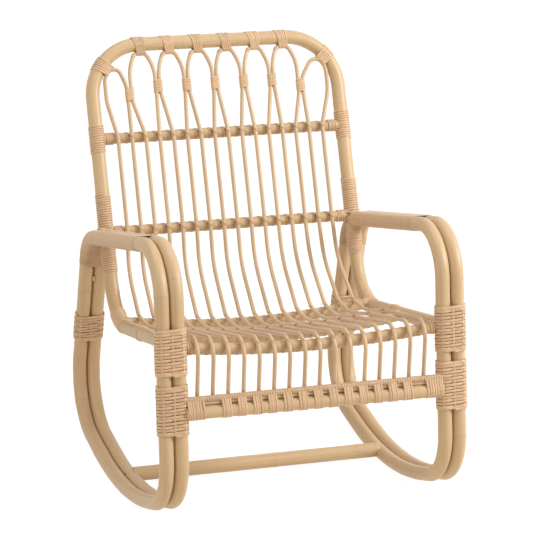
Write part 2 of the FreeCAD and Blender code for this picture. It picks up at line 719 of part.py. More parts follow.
BAR_R = size("bar_d") / 2
SEAT_BAR_R = size("seat_bar_d") / 2
CLEAR = 0.3
SLOPE_CLEAR = 0.9
ON_BACK_BAR = BAR_R + CANE_R + CLEAR
ON_SEAT_BAR = SEAT_BAR_R + CANE_R + SLOPE_CLEAR
PAIR_FORWARD = size("pair_forward")
ARCH_HALF = size("arch_pitch") / 2 - CANE_R - CLEAR
CROWN_DROP = math.sqrt((POLE_R + CANE_R + TOUCH) ** 2 - size("arch_forward") ** 2)
CROWN_UP = size("back_length") - CROWN_DROP
PAIR_TURNS = 6
PAIR_LENGTH = PAIR_TURNS * size("strand_pitch")
SEAT_BENDS = ("front_bend_r", "mid_bend_r", "dip_bend_r", "rear_bend_r")
BACK_BENDS = ("knee_bend_r", "back_bend_r", "upper_bend_r", "arch_leg_r", "shoulder_r", "crown_r")
LEG_RADII = [size(alias) for alias in SEAT_BENDS + BACK_BENDS]


def cane_x(number, pitch):
    """Where a cane stands across the chair; the canes are counted from the left."""
    return (number - (CANES - 1) / 2) * pitch + size("cane_shift")


def arch_x(arch):
    """The middle of an arch, or of the pair of legs beside it where the count is a half."""
    return (arch - (ARCHES - 1) / 2) * size("arch_pitch") + size("cane_shift")


def pair_up(pair):
    """The middle of an arch binding, up the back."""
    return size("outer_pair_bind_up" if pair in (0, ARCHES - 2) else "pair_bind_up")


def arch_side(number):
    """One half of an arch, as places on the back: leg, shoulder and crown."""
    arch = number // 2
    way = 1 if number % 2 else -1
    leg_x = arch_x(arch) + way * ARCH_HALF
    crown = (arch_x(arch) + way * size("crown_half"), CROWN_UP, size("arch_forward"))
    shoulder_up = CROWN_UP - size("shoulder_drop")
    pair = min(max(arch + (way - 1) // 2, 0), ARCHES - 2)
    if arch in (0, ARCHES - 1):
        outward = -1 if arch == 0 else 1
        end = "outer_crown_near" if way == outward else "outer_crown_far"
        crown = (outward * (size("outer_leg_x") - size(end)), size("outer_crown_up"), PAIR_FORWARD)
        shoulder_up = size("outer_leg_up" if way == outward else "outer_inner_up")
        if way == outward:
            leg_x = outward * size("outer_leg_x")
    leg = (leg_x, pair_up(pair) - PAIR_LENGTH / 2, PAIR_FORWARD)
    return [on_back(*leg), on_back(leg_x, shoulder_up, PAIR_FORWARD), on_back(*crown)]


def cane_leg(number):
    """The points of one leg of a hairpin, from the apron to the arch's crown."""
    front_x = cane_x(number, size("cane_pitch_front"))
    back_x = cane_x(number, size("cane_pitch_back"))
    front = seat_bar_centre("front", front_x)
    middle = seat_bar_centre("mid", front_x)
    rear = seat_bar_centre("rear", front_x)
    return [
        vec(front_x, size("cane_foot_y"), size("cane_foot_z")),
        front + vec(0, -size("front_bend"), size("front_bend")),
        middle + vec(0, 0, ON_SEAT_BAR),
        vec(front_x, size("dip_y"), rear.z + size("dip_rise")),
        vec(front_x, size("rear_bend_y"), rear.z + size("rear_bend_rise")),
        vec((front_x + back_x) / 2, size("knee_y"), size("knee_z")),
        on_back(back_x, size("middle_bar_up"), ON_BACK_BAR),
        on_back(back_x, size("upper_bar_up"), ON_BACK_BAR),
    ] + arch_side(number)


def hairpin(arch):
    """One cane bent into two legs and an arch."""
    points = cane_leg(2 * arch) + cane_leg(2 * arch + 1)[::-1]
    radii = LEG_RADII + LEG_RADII[::-1]
    return tube(rounded_edges(points, radii), points[0], points[1] - points[0], size("cane_d"))


nodes += [feature("cane_hairpin_%d" % (arch + 1), hairpin(arch)) for arch in range(ARCHES)]

# Woven bands round the legs and the wrap of the arms, as plain sleeves

for side, sign in SIDES:
    both_poles = [loop_blanks[side, "outer"], loop_blanks[side, "inner"]]
    joined = [rail_blanks[side], bar_blanks["seat_front_bar"], bar_blanks["apron_pole"]] + apron_canes
    behind = [rail_blanks[side], back_blank, bar_blanks["middle_back_bar"]]
    pair = AXIS_X * (sign * PAIR_MIDDLE)
    leg_turn = turned(AXIS_X, -math.degrees(math.atan2(FRONT_LEG_WAY.y, FRONT_LEG_WAY.z)))
    rear_turn = turned(AXIS_X, -math.degrees(math.atan2(REAR_LEG_WAY.y, REAR_LEG_WAY.z)))
    for name, foot in (("upper", "upper_band"), ("lower", "lower_band")):
        point = at_height(FRONT_LEG, FRONT_LEG_WAY, size(foot + "_z")) + pair
        label = "%s_front_leg_%s_band" % (side, name)
        blank = straight_band(label, point, leg_turn, cell(foot + "_length"))
        nodes.append(cut(label, blank, both_poles + joined))
    point = at_height(REAR_LEG, REAR_LEG_WAY, size("rear_band_z")) + pair
    label = side + "_rear_leg_band"
    blank = straight_band(label, point, rear_turn, cell("rear_band_length"))
    nodes.append(cut(label, blank, both_poles))
    label = side + "_arm_wrap"
    blank = arm_sleeve(label, "%d * %s" % (sign, cell("half_width")))
    nodes.append(cut(label, blank, both_poles + behind))

# Wedges in the groove between the rear leg poles

WEDGE_FORWARD = math.sqrt((POLE_R + size("wedge_d") / 2 + TOUCH) ** 2 - PAIR_HALF ** 2)
rear_normal = vec(0, -REAR_LEG_WAY.z, REAR_LEG_WAY.y)
wedge_turn = FreeCAD.Rotation(AXIS_Z, REAR_LEG_WAY)
for side, sign in SIDES:
    wedge = doc.addObject("Part::Cylinder", side + "_leg_wedge")
    wedge.setExpression("Radius", cell("wedge_d") + " / 2")
    wedge.setExpression("Height", cell("wedge_length"))
    spot = at_height(REAR_LEG, REAR_LEG_WAY, size("wedge_z")) + rear_normal * WEDGE_FORWARD
    wedge.Placement = at(spot + AXIS_X * (sign * PAIR_MIDDLE), wedge_turn)
    nodes.append(wedge)

# Strand windings

STRAND = size("strand_d")
TIE = size("tie_d")


def along(point, way, across):
    """A straight axis for a winding."""
    up = way.cross(across)
    return lambda s: (point + way * s, across, up)


def round_bend(centre, radius, outward, way, across, shift=0.0):
    """An axis that follows a bend: it runs along way, from outward of the centre or past that by a shift."""

    def place(s):
        turn = (s + shift) / radius
        radial = outward * math.cos(turn) + way * math.sin(turn)
        return centre + radial * radius, radial, across

    return place


def strand(label, place, turns, bare_radius, half_gap=0.0):
    radius = bare_radius + STRAND / 2 + TOUCH
    return winding(label, place, turns, size("strand_pitch"), STRAND, radius, half_gap)


def tie(label, place, turns, bare_radius, half_gap=0.0):
    radius = bare_radius + TIE / 2 + TOUCH
    return winding(label, place, turns, size("tie_pitch"), TIE, radius, half_gap)


def group(label, solids):
    nodes.append(feature(label, Part.makeCompound(solids) if len(solids) > 1 else solids[0]))


JOINT_TURNS = 3
CORNER_TURNS = 8
END_TURNS = 4
FRONT_END_TURNS = 2
JOINT_STEP = BAR_R + JOINT_TURNS * size("strand_pitch") / 2 + STRAND
CORNER_HALF = BACK_UP.getAngle(RAIL_WAY) / 2
CORNER_IN = (BACK_UP + RAIL_WAY).normalize()
CORNER_WAY = (BACK_UP - RAIL_WAY).normalize()
CORNER_CENTRE = SEAT_CORNER + CORNER_IN * (size("seat_corner_r") / math.sin(CORNER_HALF))
for side, sign in SIDES:
    upright_x = sign * size("back_half")
    upright = AXIS_X * upright_x
    label = side + "_upper_joint_winding"
    spots = [on_back(upright_x, size("upper_bar_up") + step) for step in (-JOINT_STEP, JOINT_STEP)]
    group(label, [strand(label, along(p, BACK_UP, AXIS_X), JOINT_TURNS, POLE_R) for p in spots])
    for name in ("above_arm", "below_arm"):
        label = "%s_%s_winding" % (side, name)
        axis = along(on_back(upright_x, size(name + "_up")), BACK_UP, AXIS_X)
        group(label, [strand(label, axis, int(size(name + "_turns")), POLE_R)])
    label = side + "_seat_corner_winding"
    middle = CORNER_CENTRE + upright
    down = -size("corner_winding_down")
    bend = round_bend(middle, size("seat_corner_r"), CORNER_IN * -1, CORNER_WAY, AXIS_X, down)
    group(label, [strand(label, bend, CORNER_TURNS, POLE_R)])
    label = side + "_rail_winding"
    axis = along(at_depth(SEAT_CORNER, RAIL_WAY, size("rail_winding_y")) + upright, RAIL_WAY, AXIS_X)
    group(label, [strand(label, axis, END_TURNS, POLE_R)])

BACK_BARS = {"upper": UPPER_BAR, "middle": MIDDLE_BAR}
for name, bar in BACK_BARS.items():
    label = name + "_bar_end_windings"
    spots = [bar + AXIS_X * (sign * size("bar_end_x")) for _, sign in SIDES]
    group(label, [strand(label, along(p, AXIS_X, AXIS_Y), END_TURNS, BAR_R) for p in spots])


def along_seat_bar(bar, x):
    """The axis of a short winding on a dished bar."""
    way = (seat_bar_centre(bar, x + 1) - seat_bar_centre(bar, x - 1)).normalize()
    return along(seat_bar_centre(bar, x), way, AXIS_Y)


label = "front_bar_end_windings"
ends = [along_seat_bar("front", sign * size("front_end_x")) for _, sign in SIDES]
group(label, [strand(label, axis, FRONT_END_TURNS, SEAT_BAR_R) for axis in ends])

# Ties where the canes cross the bars, one at the left of each cane; where a bar has windings at its ends,
# the left one serves the first cane

LASH_TURNS = 2
LASH_STEP = CANE_R + LASH_TURNS * size("tie_pitch") / 2 + TIE
PITCH_FRONT = size("cane_pitch_front")
for name, bar in BACK_BARS.items():
    label = name + "_bar_ties"
    spots = [bar + AXIS_X * (cane_x(n, size("cane_pitch_back")) - LASH_STEP) for n in range(1, CANES)]
    group(label, [tie(label, along(p, AXIS_X, AXIS_Y), LASH_TURNS, BAR_R) for p in spots])
for bar, name in SEAT_BAR_LABELS.items():
    label = name + "_ties"
    first = 1 if bar == "front" else 0
    axes = [along_seat_bar(bar, cane_x(n, PITCH_FRONT) - LASH_STEP) for n in range(first, CANES)]
    group(label, [tie(label, axis, LASH_TURNS, SEAT_BAR_R) for axis in axes])

# Bindings of the arches: to each other, and to the top rail

label = "arch_pair_bindings"
spots = [on_back(arch_x(k + 0.5), pair_up(k), PAIR_FORWARD) for k in range(ARCHES - 1)]
group(label, [strand(label, along(p, BACK_UP, AXIS_X), PAIR_TURNS, CANE_R, CANE_R + CLEAR) for p in spots])

RAIL_TURNS = 5
REACH = size("crown_reach")
RAIL_R = POLE_R + STRAND / 2 + TOUCH
CLOSE_PITCH = size("close_pitch")
to_crown = (BACK_FRONT * size("arch_forward") - BACK_UP * CROWN_DROP).normalize()
label = "top_rail_bindings"
rail_ties = []
for arch in range(1, ARCHES - 1):
    axis = along(on_back(arch_x(arch), size("back_length")) + to_crown * REACH, AXIS_X, to_crown)
    rail_ties.append(winding(label, axis, RAIL_TURNS, CLOSE_PITCH, STRAND, RAIL_R, REACH))
bend_r = size("back_corner_r")
tilt = math.radians(size("corner_binding_angle"))
for _, sign in SIDES:
    centre = on_back(sign * (size("back_half") - bend_r), size("back_length") - bend_r)
    outward = AXIS_X * (sign * math.cos(tilt)) + BACK_UP * math.sin(tilt)
    way = AXIS_X * (-sign * math.sin(tilt)) + BACK_UP * math.cos(tilt)
    axis = round_bend(centre, bend_r - REACH, outward, way, BACK_FRONT)
    rail_ties.append(strand(label, axis, RAIL_TURNS, POLE_R, REACH))
group(label, rail_ties)

# Groups of turns along the apron: round both outer canes, and at the left of each inner cane but the first

GROUP_TURNS = 4
NARROW_TURNS = 3
apron_top = APRON_CANE_RISE + APRON_CANE_STEP + APRON_CANE_R
apron_half = (apron_top - size("apron_d") / 2) / 2
apron_r = size("apron_d") / 2 + STRAND / 2 + TOUCH


def apron_group(label, number, way, turns):
    """Turns round the apron pole and its thin canes, on one side of a cane."""
    step = CANE_R + turns * CLOSE_PITCH / 2 + STRAND / 2 + CLEAR
    middle = APRON + vec(cane_x(number, PITCH_FRONT) + way * step, 0, apron_half)
    return winding(label, along(middle, AXIS_X, AXIS_Z), turns, CLOSE_PITCH, STRAND, apron_r, apron_half)


label = "apron_windings"
last = CANES - 1
groups = [(0, -1, NARROW_TURNS), (0, 1, GROUP_TURNS), (last, 1, GROUP_TURNS)]
groups += [(number, -1, GROUP_TURNS) for number in range(2, CANES)]
group(label, [apron_group(label, *place) for place in groups])

# Checks and output

doc.recompute()
for item in doc.Objects:
    if "Invalid" in item.State or "Error" in item.State:
        raise RuntimeError("%s failed: %s" % (item.Label, item.State))
for node in nodes:
    if node.Shape.isNull() or not node.Shape.isValid():
        raise RuntimeError(node.Label + " has no valid shape")
for label, gap in gaps.items():
    print("%s: least gap between turns %.2f mm" % (label, gap))
    if gap < LEAST_GAP:
        raise RuntimeError(label + " touches itself")
os.makedirs("parts", exist_ok=True)
for node in nodes:
    node.Shape.exportStep("parts/%s.step" % node.Label)
print("%d nodes" % len(nodes))
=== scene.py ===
"""Looks of the rattan rocking chair: peeled poles and canes, and the split strands that bind them.

Lengths are in millimetres in the upright frame that the chair is drawn in; rest() sets points down in the
frame of the part, in metres. X runs across the chair, -Y is its front and +Z is up.
"""
import bpy
import math
from collections import namedtuple
import numpy as np
from mathutils import Matrix

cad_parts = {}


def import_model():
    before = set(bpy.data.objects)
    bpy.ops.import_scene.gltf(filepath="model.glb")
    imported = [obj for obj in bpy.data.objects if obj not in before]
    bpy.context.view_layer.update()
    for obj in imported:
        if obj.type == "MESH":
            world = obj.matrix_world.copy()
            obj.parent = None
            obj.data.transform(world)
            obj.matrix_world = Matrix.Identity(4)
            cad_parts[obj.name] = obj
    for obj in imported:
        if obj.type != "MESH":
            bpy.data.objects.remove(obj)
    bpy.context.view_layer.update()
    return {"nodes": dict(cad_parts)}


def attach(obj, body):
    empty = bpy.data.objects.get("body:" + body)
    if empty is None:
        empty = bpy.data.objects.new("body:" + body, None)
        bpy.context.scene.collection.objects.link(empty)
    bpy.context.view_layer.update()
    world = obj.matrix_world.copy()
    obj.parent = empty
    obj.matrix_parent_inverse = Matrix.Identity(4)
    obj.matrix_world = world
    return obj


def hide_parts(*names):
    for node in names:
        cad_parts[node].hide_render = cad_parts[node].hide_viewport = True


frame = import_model()
rng = np.random.default_rng(11)

METRE = 1000.0
SIDES = {"left": -1, "right": 1}
AXIS_X = np.array([1.0, 0.0, 0.0])
AXIS_Y = np.array([0.0, 1.0, 0.0])
AXIS_Z = np.array([0.0, 0.0, 1.0])

# Side loops: the corners of a loop pole, with the radius of the bend at each

POLE_R = 15.0
PAIR_MIDDLE = 300.0
PAIR_HALF = 15.4
LOOP_START = np.array([0.0, 60.0, 539.2])
ARM_REAR, ARM_REAR_R = np.array([0.0, 294.5, 499.0]), 74.0
REAR_FOOT, REAR_FOOT_R = np.array([0.0, 418.5, 88.0]), 125.0
RUNNER, RUNNER_R = np.array([0.0, 40.0, -10.3]), 789.0
FRONT_FOOT, FRONT_FOOT_R = np.array([0.0, -280.0, 70.0]), 105.0
ARM_FRONT, ARM_FRONT_R = np.array([0.0, -236.0, 590.0]), 102.0
LOOP_END = np.array([0.0, 59.5, 539.3])
LOOP_CORNERS = (LOOP_START, ARM_REAR, REAR_FOOT, RUNNER, FRONT_FOOT, ARM_FRONT, LOOP_END)
LOOP_RADII = (ARM_REAR_R, REAR_FOOT_R, RUNNER_R, FRONT_FOOT_R, ARM_FRONT_R)

# Back frame and seat rails

BACK_HALF = 282.0
BACK_LENGTH = 601.0
BACK_START = 189.0
BACK_CORNER_R = 115.0
RECLINE = math.radians(18.5)
SEAT_CORNER, SEAT_CORNER_R = np.array([0.0, 209.0, 325.5]), 109.0
RAIL_FRONT = np.array([0.0, -245.0, 384.5])
RISER_TOP = np.array([0.0, 266.4, 497.2])

# Bars: a back bar by its way up the back; a seat bar by y, height near its ends and depth of its dish

BAR_HALF = 272.0
LOOP_BAR_HALF = 276.0
BAR_R = 11.5
UPPER_BAR_UP = 398.0
MIDDLE_BAR_UP = 196.0
BACK_BARS = {"upper": UPPER_BAR_UP, "middle": MIDDLE_BAR_UP}
SEAT_BAR_R = 12.0
SEAT_BARS = {"rear": (145.0, 341.0, 21.5), "middle": (-45.0, 358.5, 22.0), "front": (-245.0, 381.4, 15.5)}
SEAT_BAR_POINTS = 60
APRON_R = 14.0
APRON = np.array([0.0, -272.0, 254.0])
STRETCHER_R = 15.5
STRETCHER = np.array([0.0, 90.0, 22.3])
STRETCHER_HALF = 279.0

# Canes: how they are spaced, their way over the seat and up the back, and their arches

CANES = 16
ARCHES = CANES // 2
CANE_R = 4.25
# Gaps between pieces: in touch, side by side or crossing, and crossing on a slope
TOUCH = 0.1
CLEAR = 0.3
SLOPE_CLEAR = 0.9
CANE_SHIFT = -5.0
PITCH_BACK = 31.2
PITCH_FRONT = 32.4
CANE_FOOT_Y, CANE_FOOT_Z = -262.0, 267.5
FRONT_BEND = 29.6
DIP_Y, DIP_RISE = 72.0, 9.0
REAR_BEND_Y, REAR_BEND_RISE = 144.0, 14.9
KNEE_Y, KNEE_Z = 234.0, 430.0
# The bends of a leg, from the apron up to the crown of its arch
LEG_RADII = (38.0, 300.0, 200.0, 45.0, 170.0, 400.0, 80.0, 100.0, 90.0, 19.0)
ARCH_PITCH = 65.4
ARCH_FORWARD = 3.0
PAIR_UP = 506.0
OUTER_PAIR_UP = 491.0
PAIR_FORWARD = 8.0
PAIR_LENGTH = 27.6
SHOULDER_DROP = 37.0
CROWN_HALF = 12.5
OUTER_LEG_X = 254.0
OUTER_LEG_UP = 528.0
OUTER_INNER_UP = 508.0
OUTER_CROWN_UP = 547.0
OUTER_CROWN_NEAR = 12.0
OUTER_CROWN_FAR = 33.0


def unit(v):
    return v / np.linalg.norm(v, axis=-1, keepdims=True)


# The chair at rest

REST_LEAN = math.radians(3.7)
REST_SHIFT_Y = -98.5


def runner_bottom():
    """The height of the runner's lowest point over the drawing's zero, once the chair leans back."""
    to_rear = unit(REAR_FOOT - RUNNER)
    to_front = unit(FRONT_FOOT - RUNNER)
    half = math.acos(to_rear @ to_front) / 2
    centre = RUNNER + unit(to_rear + to_front) * (RUNNER_R / math.sin(half))
    return centre[2] * math.cos(REST_LEAN) - centre[1] * math.sin(REST_LEAN) - RUNNER_R - POLE_R


REST_TURN = np.array([
    [1.0, 0.0, 0.0],
    [0.0, math.cos(REST_LEAN), math.sin(REST_LEAN)],
    [0.0, -math.sin(REST_LEAN), math.cos(REST_LEAN)],
])
REST_MOVE = np.array([0.0, REST_SHIFT_Y, -runner_bottom()])


def rest(points):
    return (np.asarray(points) @ REST_TURN.T + REST_MOVE) / METRE


# Places on the chair

BACK_UP = np.array([0.0, math.sin(RECLINE), math.cos(RECLINE)])
BACK_FRONT = np.array([0.0, -math.cos(RECLINE), math.sin(RECLINE)])
RAIL_WAY = unit(RAIL_FRONT - SEAT_CORNER)
FRONT_LEG_WAY = unit(ARM_FRONT - FRONT_FOOT)
REAR_LEG_WAY = unit(ARM_REAR - REAR_FOOT)
ON_BACK_BAR = BAR_R + CANE_R + CLEAR
ON_SEAT_BAR = SEAT_BAR_R + CANE_R + SLOPE_CLEAR
ARCH_HALF = ARCH_PITCH / 2 - CANE_R - CLEAR
CROWN_DROP = math.sqrt((POLE_R + CANE_R + TOUCH) ** 2 - ARCH_FORWARD ** 2)
CROWN_UP = BACK_LENGTH - CROWN_DROP
APRON_CANE_LOW = APRON_R + CANE_R + TOUCH
APRON_CANE_HIGH = APRON_CANE_LOW + 2 * CANE_R + TOUCH


def on_back(x, up, forward=0.0):
    """A point of the back: across, up the uprights from the seat corner, and forward of them."""
    return SEAT_CORNER + BACK_UP * up + BACK_FRONT * forward + AXIS_X * x


def seat_bar_centre(bar, x):
    """The middle line of a dished seat bar."""
    y, z, sag = SEAT_BARS[bar]
    return np.array([x, y, z - sag * (1 - (x / BAR_HALF) ** 2)])


def at_height(start, way, z):
    return start + way * ((z - start[2]) / way[2])


def moved_across(corners, x):
    """Corners that are given for the middle of the chair, moved to one side of it."""
    return [corner + AXIS_X * x for corner in corners]


def cane_x(number, pitch):
    """Where a cane stands across the chair; the canes are counted from the left."""
    return (number - (CANES - 1) / 2) * pitch + CANE_SHIFT


def arch_x(arch):
    """The middle of an arch, or of the pair of legs beside it where the count is a half."""
    return (arch - (ARCHES - 1) / 2) * ARCH_PITCH + CANE_SHIFT


def pair_up(pair):
    return OUTER_PAIR_UP if pair in (0, ARCHES - 2) else PAIR_UP


# Lines and their frames

BEND_SHARE = 0.48
BEND_STEP = 1.5
BEND_POINTS = 4
STRAIGHT = 1e-4


def distances(points):
    return np.concatenate([[0.0], np.cumsum(np.linalg.norm(np.diff(points, axis=0), axis=1))])


def nearest(path, point):
    """How far along a path its nearest point to a place lies."""
    return distances(path)[np.argmin(np.linalg.norm(path - point, axis=1))]


def between(at, known, values):
    """Rows of values, read at other places along a line."""
    return np.stack([np.interp(at, known, column) for column in np.asarray(values).T], axis=-1)


def rounded(points, radii, share=1.0):
    """A line with its corners rounded; no bend takes more than a share of the shorter run beside it."""
    points = np.asarray(points, float)
    runs = [points[:1]]
    for k, radius in enumerate(radii, start=1):
        back, ahead = points[k - 1] - points[k], points[k + 1] - points[k]
        shorter = min(np.linalg.norm(back), np.linalg.norm(ahead))
        back, ahead = unit(back), unit(ahead)
        turn = math.pi - math.acos(np.clip(back @ ahead, -1.0, 1.0))
        if turn < STRAIGHT:
            continue
        reach = min(radius * math.tan(turn / 2), share * shorter)
        bend = reach / math.tan(turn / 2)
        centre = points[k] + unit(back + ahead) * (bend / math.cos(turn / 2))
        first = points[k] + back * reach - centre
        last = points[k] + ahead * reach - centre
        t = np.linspace(0.0, 1.0, max(BEND_POINTS, int(bend * turn / BEND_STEP)))[:, None]
        runs.append(centre + (np.sin((1 - t) * turn) * first + np.sin(t * turn) * last) / math.sin(turn))
    runs.append(points[-1:])
    return np.concatenate(runs)


def carried(tangents, hint):
    """Normals that turn as little as they can along a line."""
    normals = np.empty_like(tangents)
    normal = hint
    for k, tangent in enumerate(tangents):
        normal = unit(normal - tangent * (normal @ tangent))
        normals[k] = normal
    return normals


# Meshes, gathered strand by strand


class Skin:
    """The points and faces of one piece, with the fibre coordinates that its material reads."""

    def __init__(self):
        self.points, self.quads, self.ends = [], [], []
        self.fibre, self.tone, self.ring = [], [], []
        self.count = 0

    def add(self, rings, fibre, tone, ring=None):
        """Joins rings of points into a closed skin."""
        length, sides = rings.shape[:2]
        index = self.count + np.arange(length * sides).reshape(length, sides)
        beside = np.roll(index, -1, axis=1)
        faces = np.stack([index[:-1], beside[:-1], beside[1:], index[1:]], axis=-1)
        self.quads.append(faces.reshape(-1, 4))
        self.ends += [index[0, ::-1], index[-1]]
        self.points.append(rings.reshape(-1, 3))
        self.fibre.append(fibre.reshape(-1, 3) / METRE)
        self.tone.append(np.full(length * sides, tone))
        self.ring.append(np.repeat(np.zeros(length) if ring is None else ring, sides))
        self.count += length * sides

    def build(self, name, material):
        """Makes the object, with fibre, tone and ring as attributes of its points."""
        mesh = bpy.data.meshes.new(name)
        quads = np.concatenate(self.quads)
        loops = np.concatenate([quads.ravel()] + self.ends)
        totals = np.concatenate([np.full(len(quads), 4), [len(end) for end in self.ends]])
        mesh.vertices.add(self.count)
        mesh.vertices.foreach_set("co", rest(np.concatenate(self.points)).ravel())
        mesh.loops.add(len(loops))
        mesh.loops.foreach_set("vertex_index", loops)
        mesh.polygons.add(len(totals))
        mesh.polygons.foreach_set("loop_start", np.concatenate([[0], np.cumsum(totals)[:-1]]))
        mesh.polygons.foreach_set("loop_total", totals)
        mesh.update(calc_edges=True)
        mesh.validate()
        mesh.shade_smooth()
        for label, kind, field, values in (
            ("fibre", "FLOAT_VECTOR", "vector", self.fibre),
            ("tone", "FLOAT", "value", self.tone),
            ("ring", "FLOAT", "value", self.ring),
        ):
            layer = mesh.attributes.new(label, kind, "POINT")
            layer.data.foreach_set(field, np.concatenate(values).ravel())
        mesh.materials.append(material)
        piece = bpy.data.objects.new(name, mesh)
        bpy.context.collection.objects.link(piece)
        return piece


def show(node, skin, material):
    """Puts a finished piece in the place of its CAD node."""
    piece = skin.build(node + "_look", material)
    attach(piece, "root")
    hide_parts(node)


# Poles and canes

POLE_SIDES = 40
POLE_STEP = 5.0
POLE_RINGS = (170.0, 340.0)
CANE_SIDES = 18
CANE_STEP = 4.0
CANE_RINGS = (190.0, 380.0)
FIBRE_SPREAD = 1e4
# A first growth ring comes no sooner than this share of the longest gap
FIRST_RING = 0.2
RING_WIDTH = 1.1
RING_SWELL = 0.28
SWELL_WIDTH = 7.0
RING_OFFSETS = (-12.0, -6.0, -2.2, -1.1, 0.0, 1.1, 2.2, 6.0, 12.0)
LUMPINESS = 0.007
LUMP_WAVES = (310.0, 170.0, 95.0)
CHAMFER = 1.2


def growth_rings(length, shortest, longest):
    """Where the growth rings of a pole lie along it."""
    rings = []
    at = rng.uniform(FIRST_RING, 1.0) * longest
    while at < length:
        rings.append(at)
        at += rng.uniform(shortest, longest)
    return np.array(rings)


def rod(path, radius, sides, step, ring_gap, hint):
    """A round pole or cane along a path, with growth rings and a natural unevenness."""
    gone = distances(path)
    length = gone[-1]
    rings = growth_rings(length, *ring_gap)
    stations = [np.linspace(0.0, length, int(length / step) + 2), [CHAMFER, length - CHAMFER]]
    stations += [at + np.array(RING_OFFSETS) for at in rings]
    s = np.unique(np.clip(np.concatenate(stations), 0.0, length))
    points = between(s, gone, path)
    tangents = unit(np.gradient(points, s, axis=0))
    normals = carried(tangents, hint)
    sideways = np.cross(tangents, normals)
    waves = [np.sin(2 * math.pi * (s / wave + rng.uniform())) for wave in LUMP_WAVES]
    thick = radius * (1 + LUMPINESS * sum(waves) / len(waves))
    ring = np.zeros_like(s)
    for at in rings:
        ring = np.maximum(ring, np.exp(-((s - at) / RING_WIDTH) ** 2))
        thick = thick + RING_SWELL * radius / POLE_R * np.exp(-((s - at) / SWELL_WIDTH) ** 2)
    thick[[0, -1]] -= CHAMFER * radius / POLE_R
    angle = 2 * math.pi * np.arange(sides) / sides
    around = normals[:, None] * np.cos(angle)[:, None] + sideways[:, None] * np.sin(angle)[:, None]
    fibre = np.empty((len(s), sides, 3))
    fibre[..., 0] = radius * np.cos(angle)
    fibre[..., 1] = radius * np.sin(angle)
    fibre[..., 2] = (s + rng.uniform(0, FIBRE_SPREAD))[:, None]
    skin = Skin()
    skin.add(points[:, None] + around * thick[:, None, None], fibre, rng.uniform(-1, 1), ring)
    return skin


def loop_path(x):
    return rounded(moved_across(LOOP_CORNERS, x), LOOP_RADII)


def rail_path(x):
    return rounded(moved_across((RAIL_FRONT, SEAT_CORNER, RISER_TOP), x), [SEAT_CORNER_R])


def back_path():
    left = [on_back(-BACK_HALF, BACK_START), on_back(-BACK_HALF, BACK_LENGTH)]
    right = [on_back(BACK_HALF, BACK_LENGTH), on_back(BACK_HALF, BACK_START)]
    return rounded(left + right, [BACK_CORNER_R] * 2)


def bar_path(centre, half):
    return np.array([centre - AXIS_X * half, centre, centre + AXIS_X * half])


def seat_bar_path(bar):
    return np.array([seat_bar_centre(bar, x) for x in np.linspace(-BACK_HALF, BACK_HALF, SEAT_BAR_POINTS)])


def arch_side(number):
    """One half of an arch: leg, shoulder and crown."""
    arch = number // 2
    way = 1 if number % 2 else -1
    leg_x = arch_x(arch) + way * ARCH_HALF
    crown = (arch_x(arch) + way * CROWN_HALF, CROWN_UP, ARCH_FORWARD)
    shoulder_up = CROWN_UP - SHOULDER_DROP
    pair = min(max(arch + (way - 1) // 2, 0), ARCHES - 2)
    if arch in (0, ARCHES - 1):
        outward = -1 if arch == 0 else 1
        end = OUTER_CROWN_NEAR if way == outward else OUTER_CROWN_FAR
        crown = (outward * (OUTER_LEG_X - end), OUTER_CROWN_UP, PAIR_FORWARD)
        shoulder_up = OUTER_LEG_UP if way == outward else OUTER_INNER_UP
        if way == outward:
            leg_x = outward * OUTER_LEG_X
    leg_up = pair_up(pair) - PAIR_LENGTH / 2
    leg = [on_back(leg_x, up, PAIR_FORWARD) for up in (leg_up, shoulder_up)]
    return leg + [on_back(*crown)]


def cane_leg(number):
    """The points of one leg of a hairpin, from the apron to the arch's crown."""
    front_x = cane_x(number, PITCH_FRONT)
    back_x = cane_x(number, PITCH_BACK)
    rear_z = seat_bar_centre("rear", front_x)[2]
    return [
        np.array([front_x, CANE_FOOT_Y, CANE_FOOT_Z]),
        seat_bar_centre("front", front_x) + np.array([0.0, -FRONT_BEND, FRONT_BEND]),
        seat_bar_centre("middle", front_x) + AXIS_Z * ON_SEAT_BAR,
        np.array([front_x, DIP_Y, rear_z + DIP_RISE]),
        np.array([front_x, REAR_BEND_Y, rear_z + REAR_BEND_RISE]),
        np.array([(front_x + back_x) / 2, KNEE_Y, KNEE_Z]),
        on_back(back_x, MIDDLE_BAR_UP, ON_BACK_BAR),
        on_back(back_x, UPPER_BAR_UP, ON_BACK_BAR),
    ] + arch_side(number)


def hairpin_path(arch):
    points = cane_leg(2 * arch) + cane_leg(2 * arch + 1)[::-1]
    return rounded(points, LEG_RADII + LEG_RADII[::-1], BEND_SHARE)


# Taut outlines and the lines that strands wind round

AXIS_REACH = 60.0


class Outline:
    """A taut loop round ellipses (x, y, half width, half height), as places and outward directions."""

    SAMPLES = 480

    def __init__(self, *ellipses):
        shapes = np.array(ellipses, float)
        centre, half = shapes[:, :2], shapes[:, 2:]
        angle = 2 * math.pi * np.arange(self.SAMPLES + 1) / self.SAMPLES
        way = np.stack([np.cos(angle), np.sin(angle)], axis=-1)
        stretch = np.linalg.norm(way[:, None] * half, axis=-1)
        best = np.argmax(way @ centre.T + stretch, axis=1)
        reach = stretch[np.arange(len(way)), best]
        places = centre[best] + half[best] ** 2 * way / reach[:, None]
        gone = distances(places)
        self.lap = gone[-1]
        self.share = gone / self.lap
        self.rows = np.concatenate([places, way], axis=1)

    def at(self, turn):
        return between(np.mod(turn, 1.0), self.share, self.rows)


def disc(x, radius, y=0.0):
    """A round ellipse for an outline."""
    return x, y, radius, radius


def round_pole(radius):
    return Outline(disc(0.0, radius))


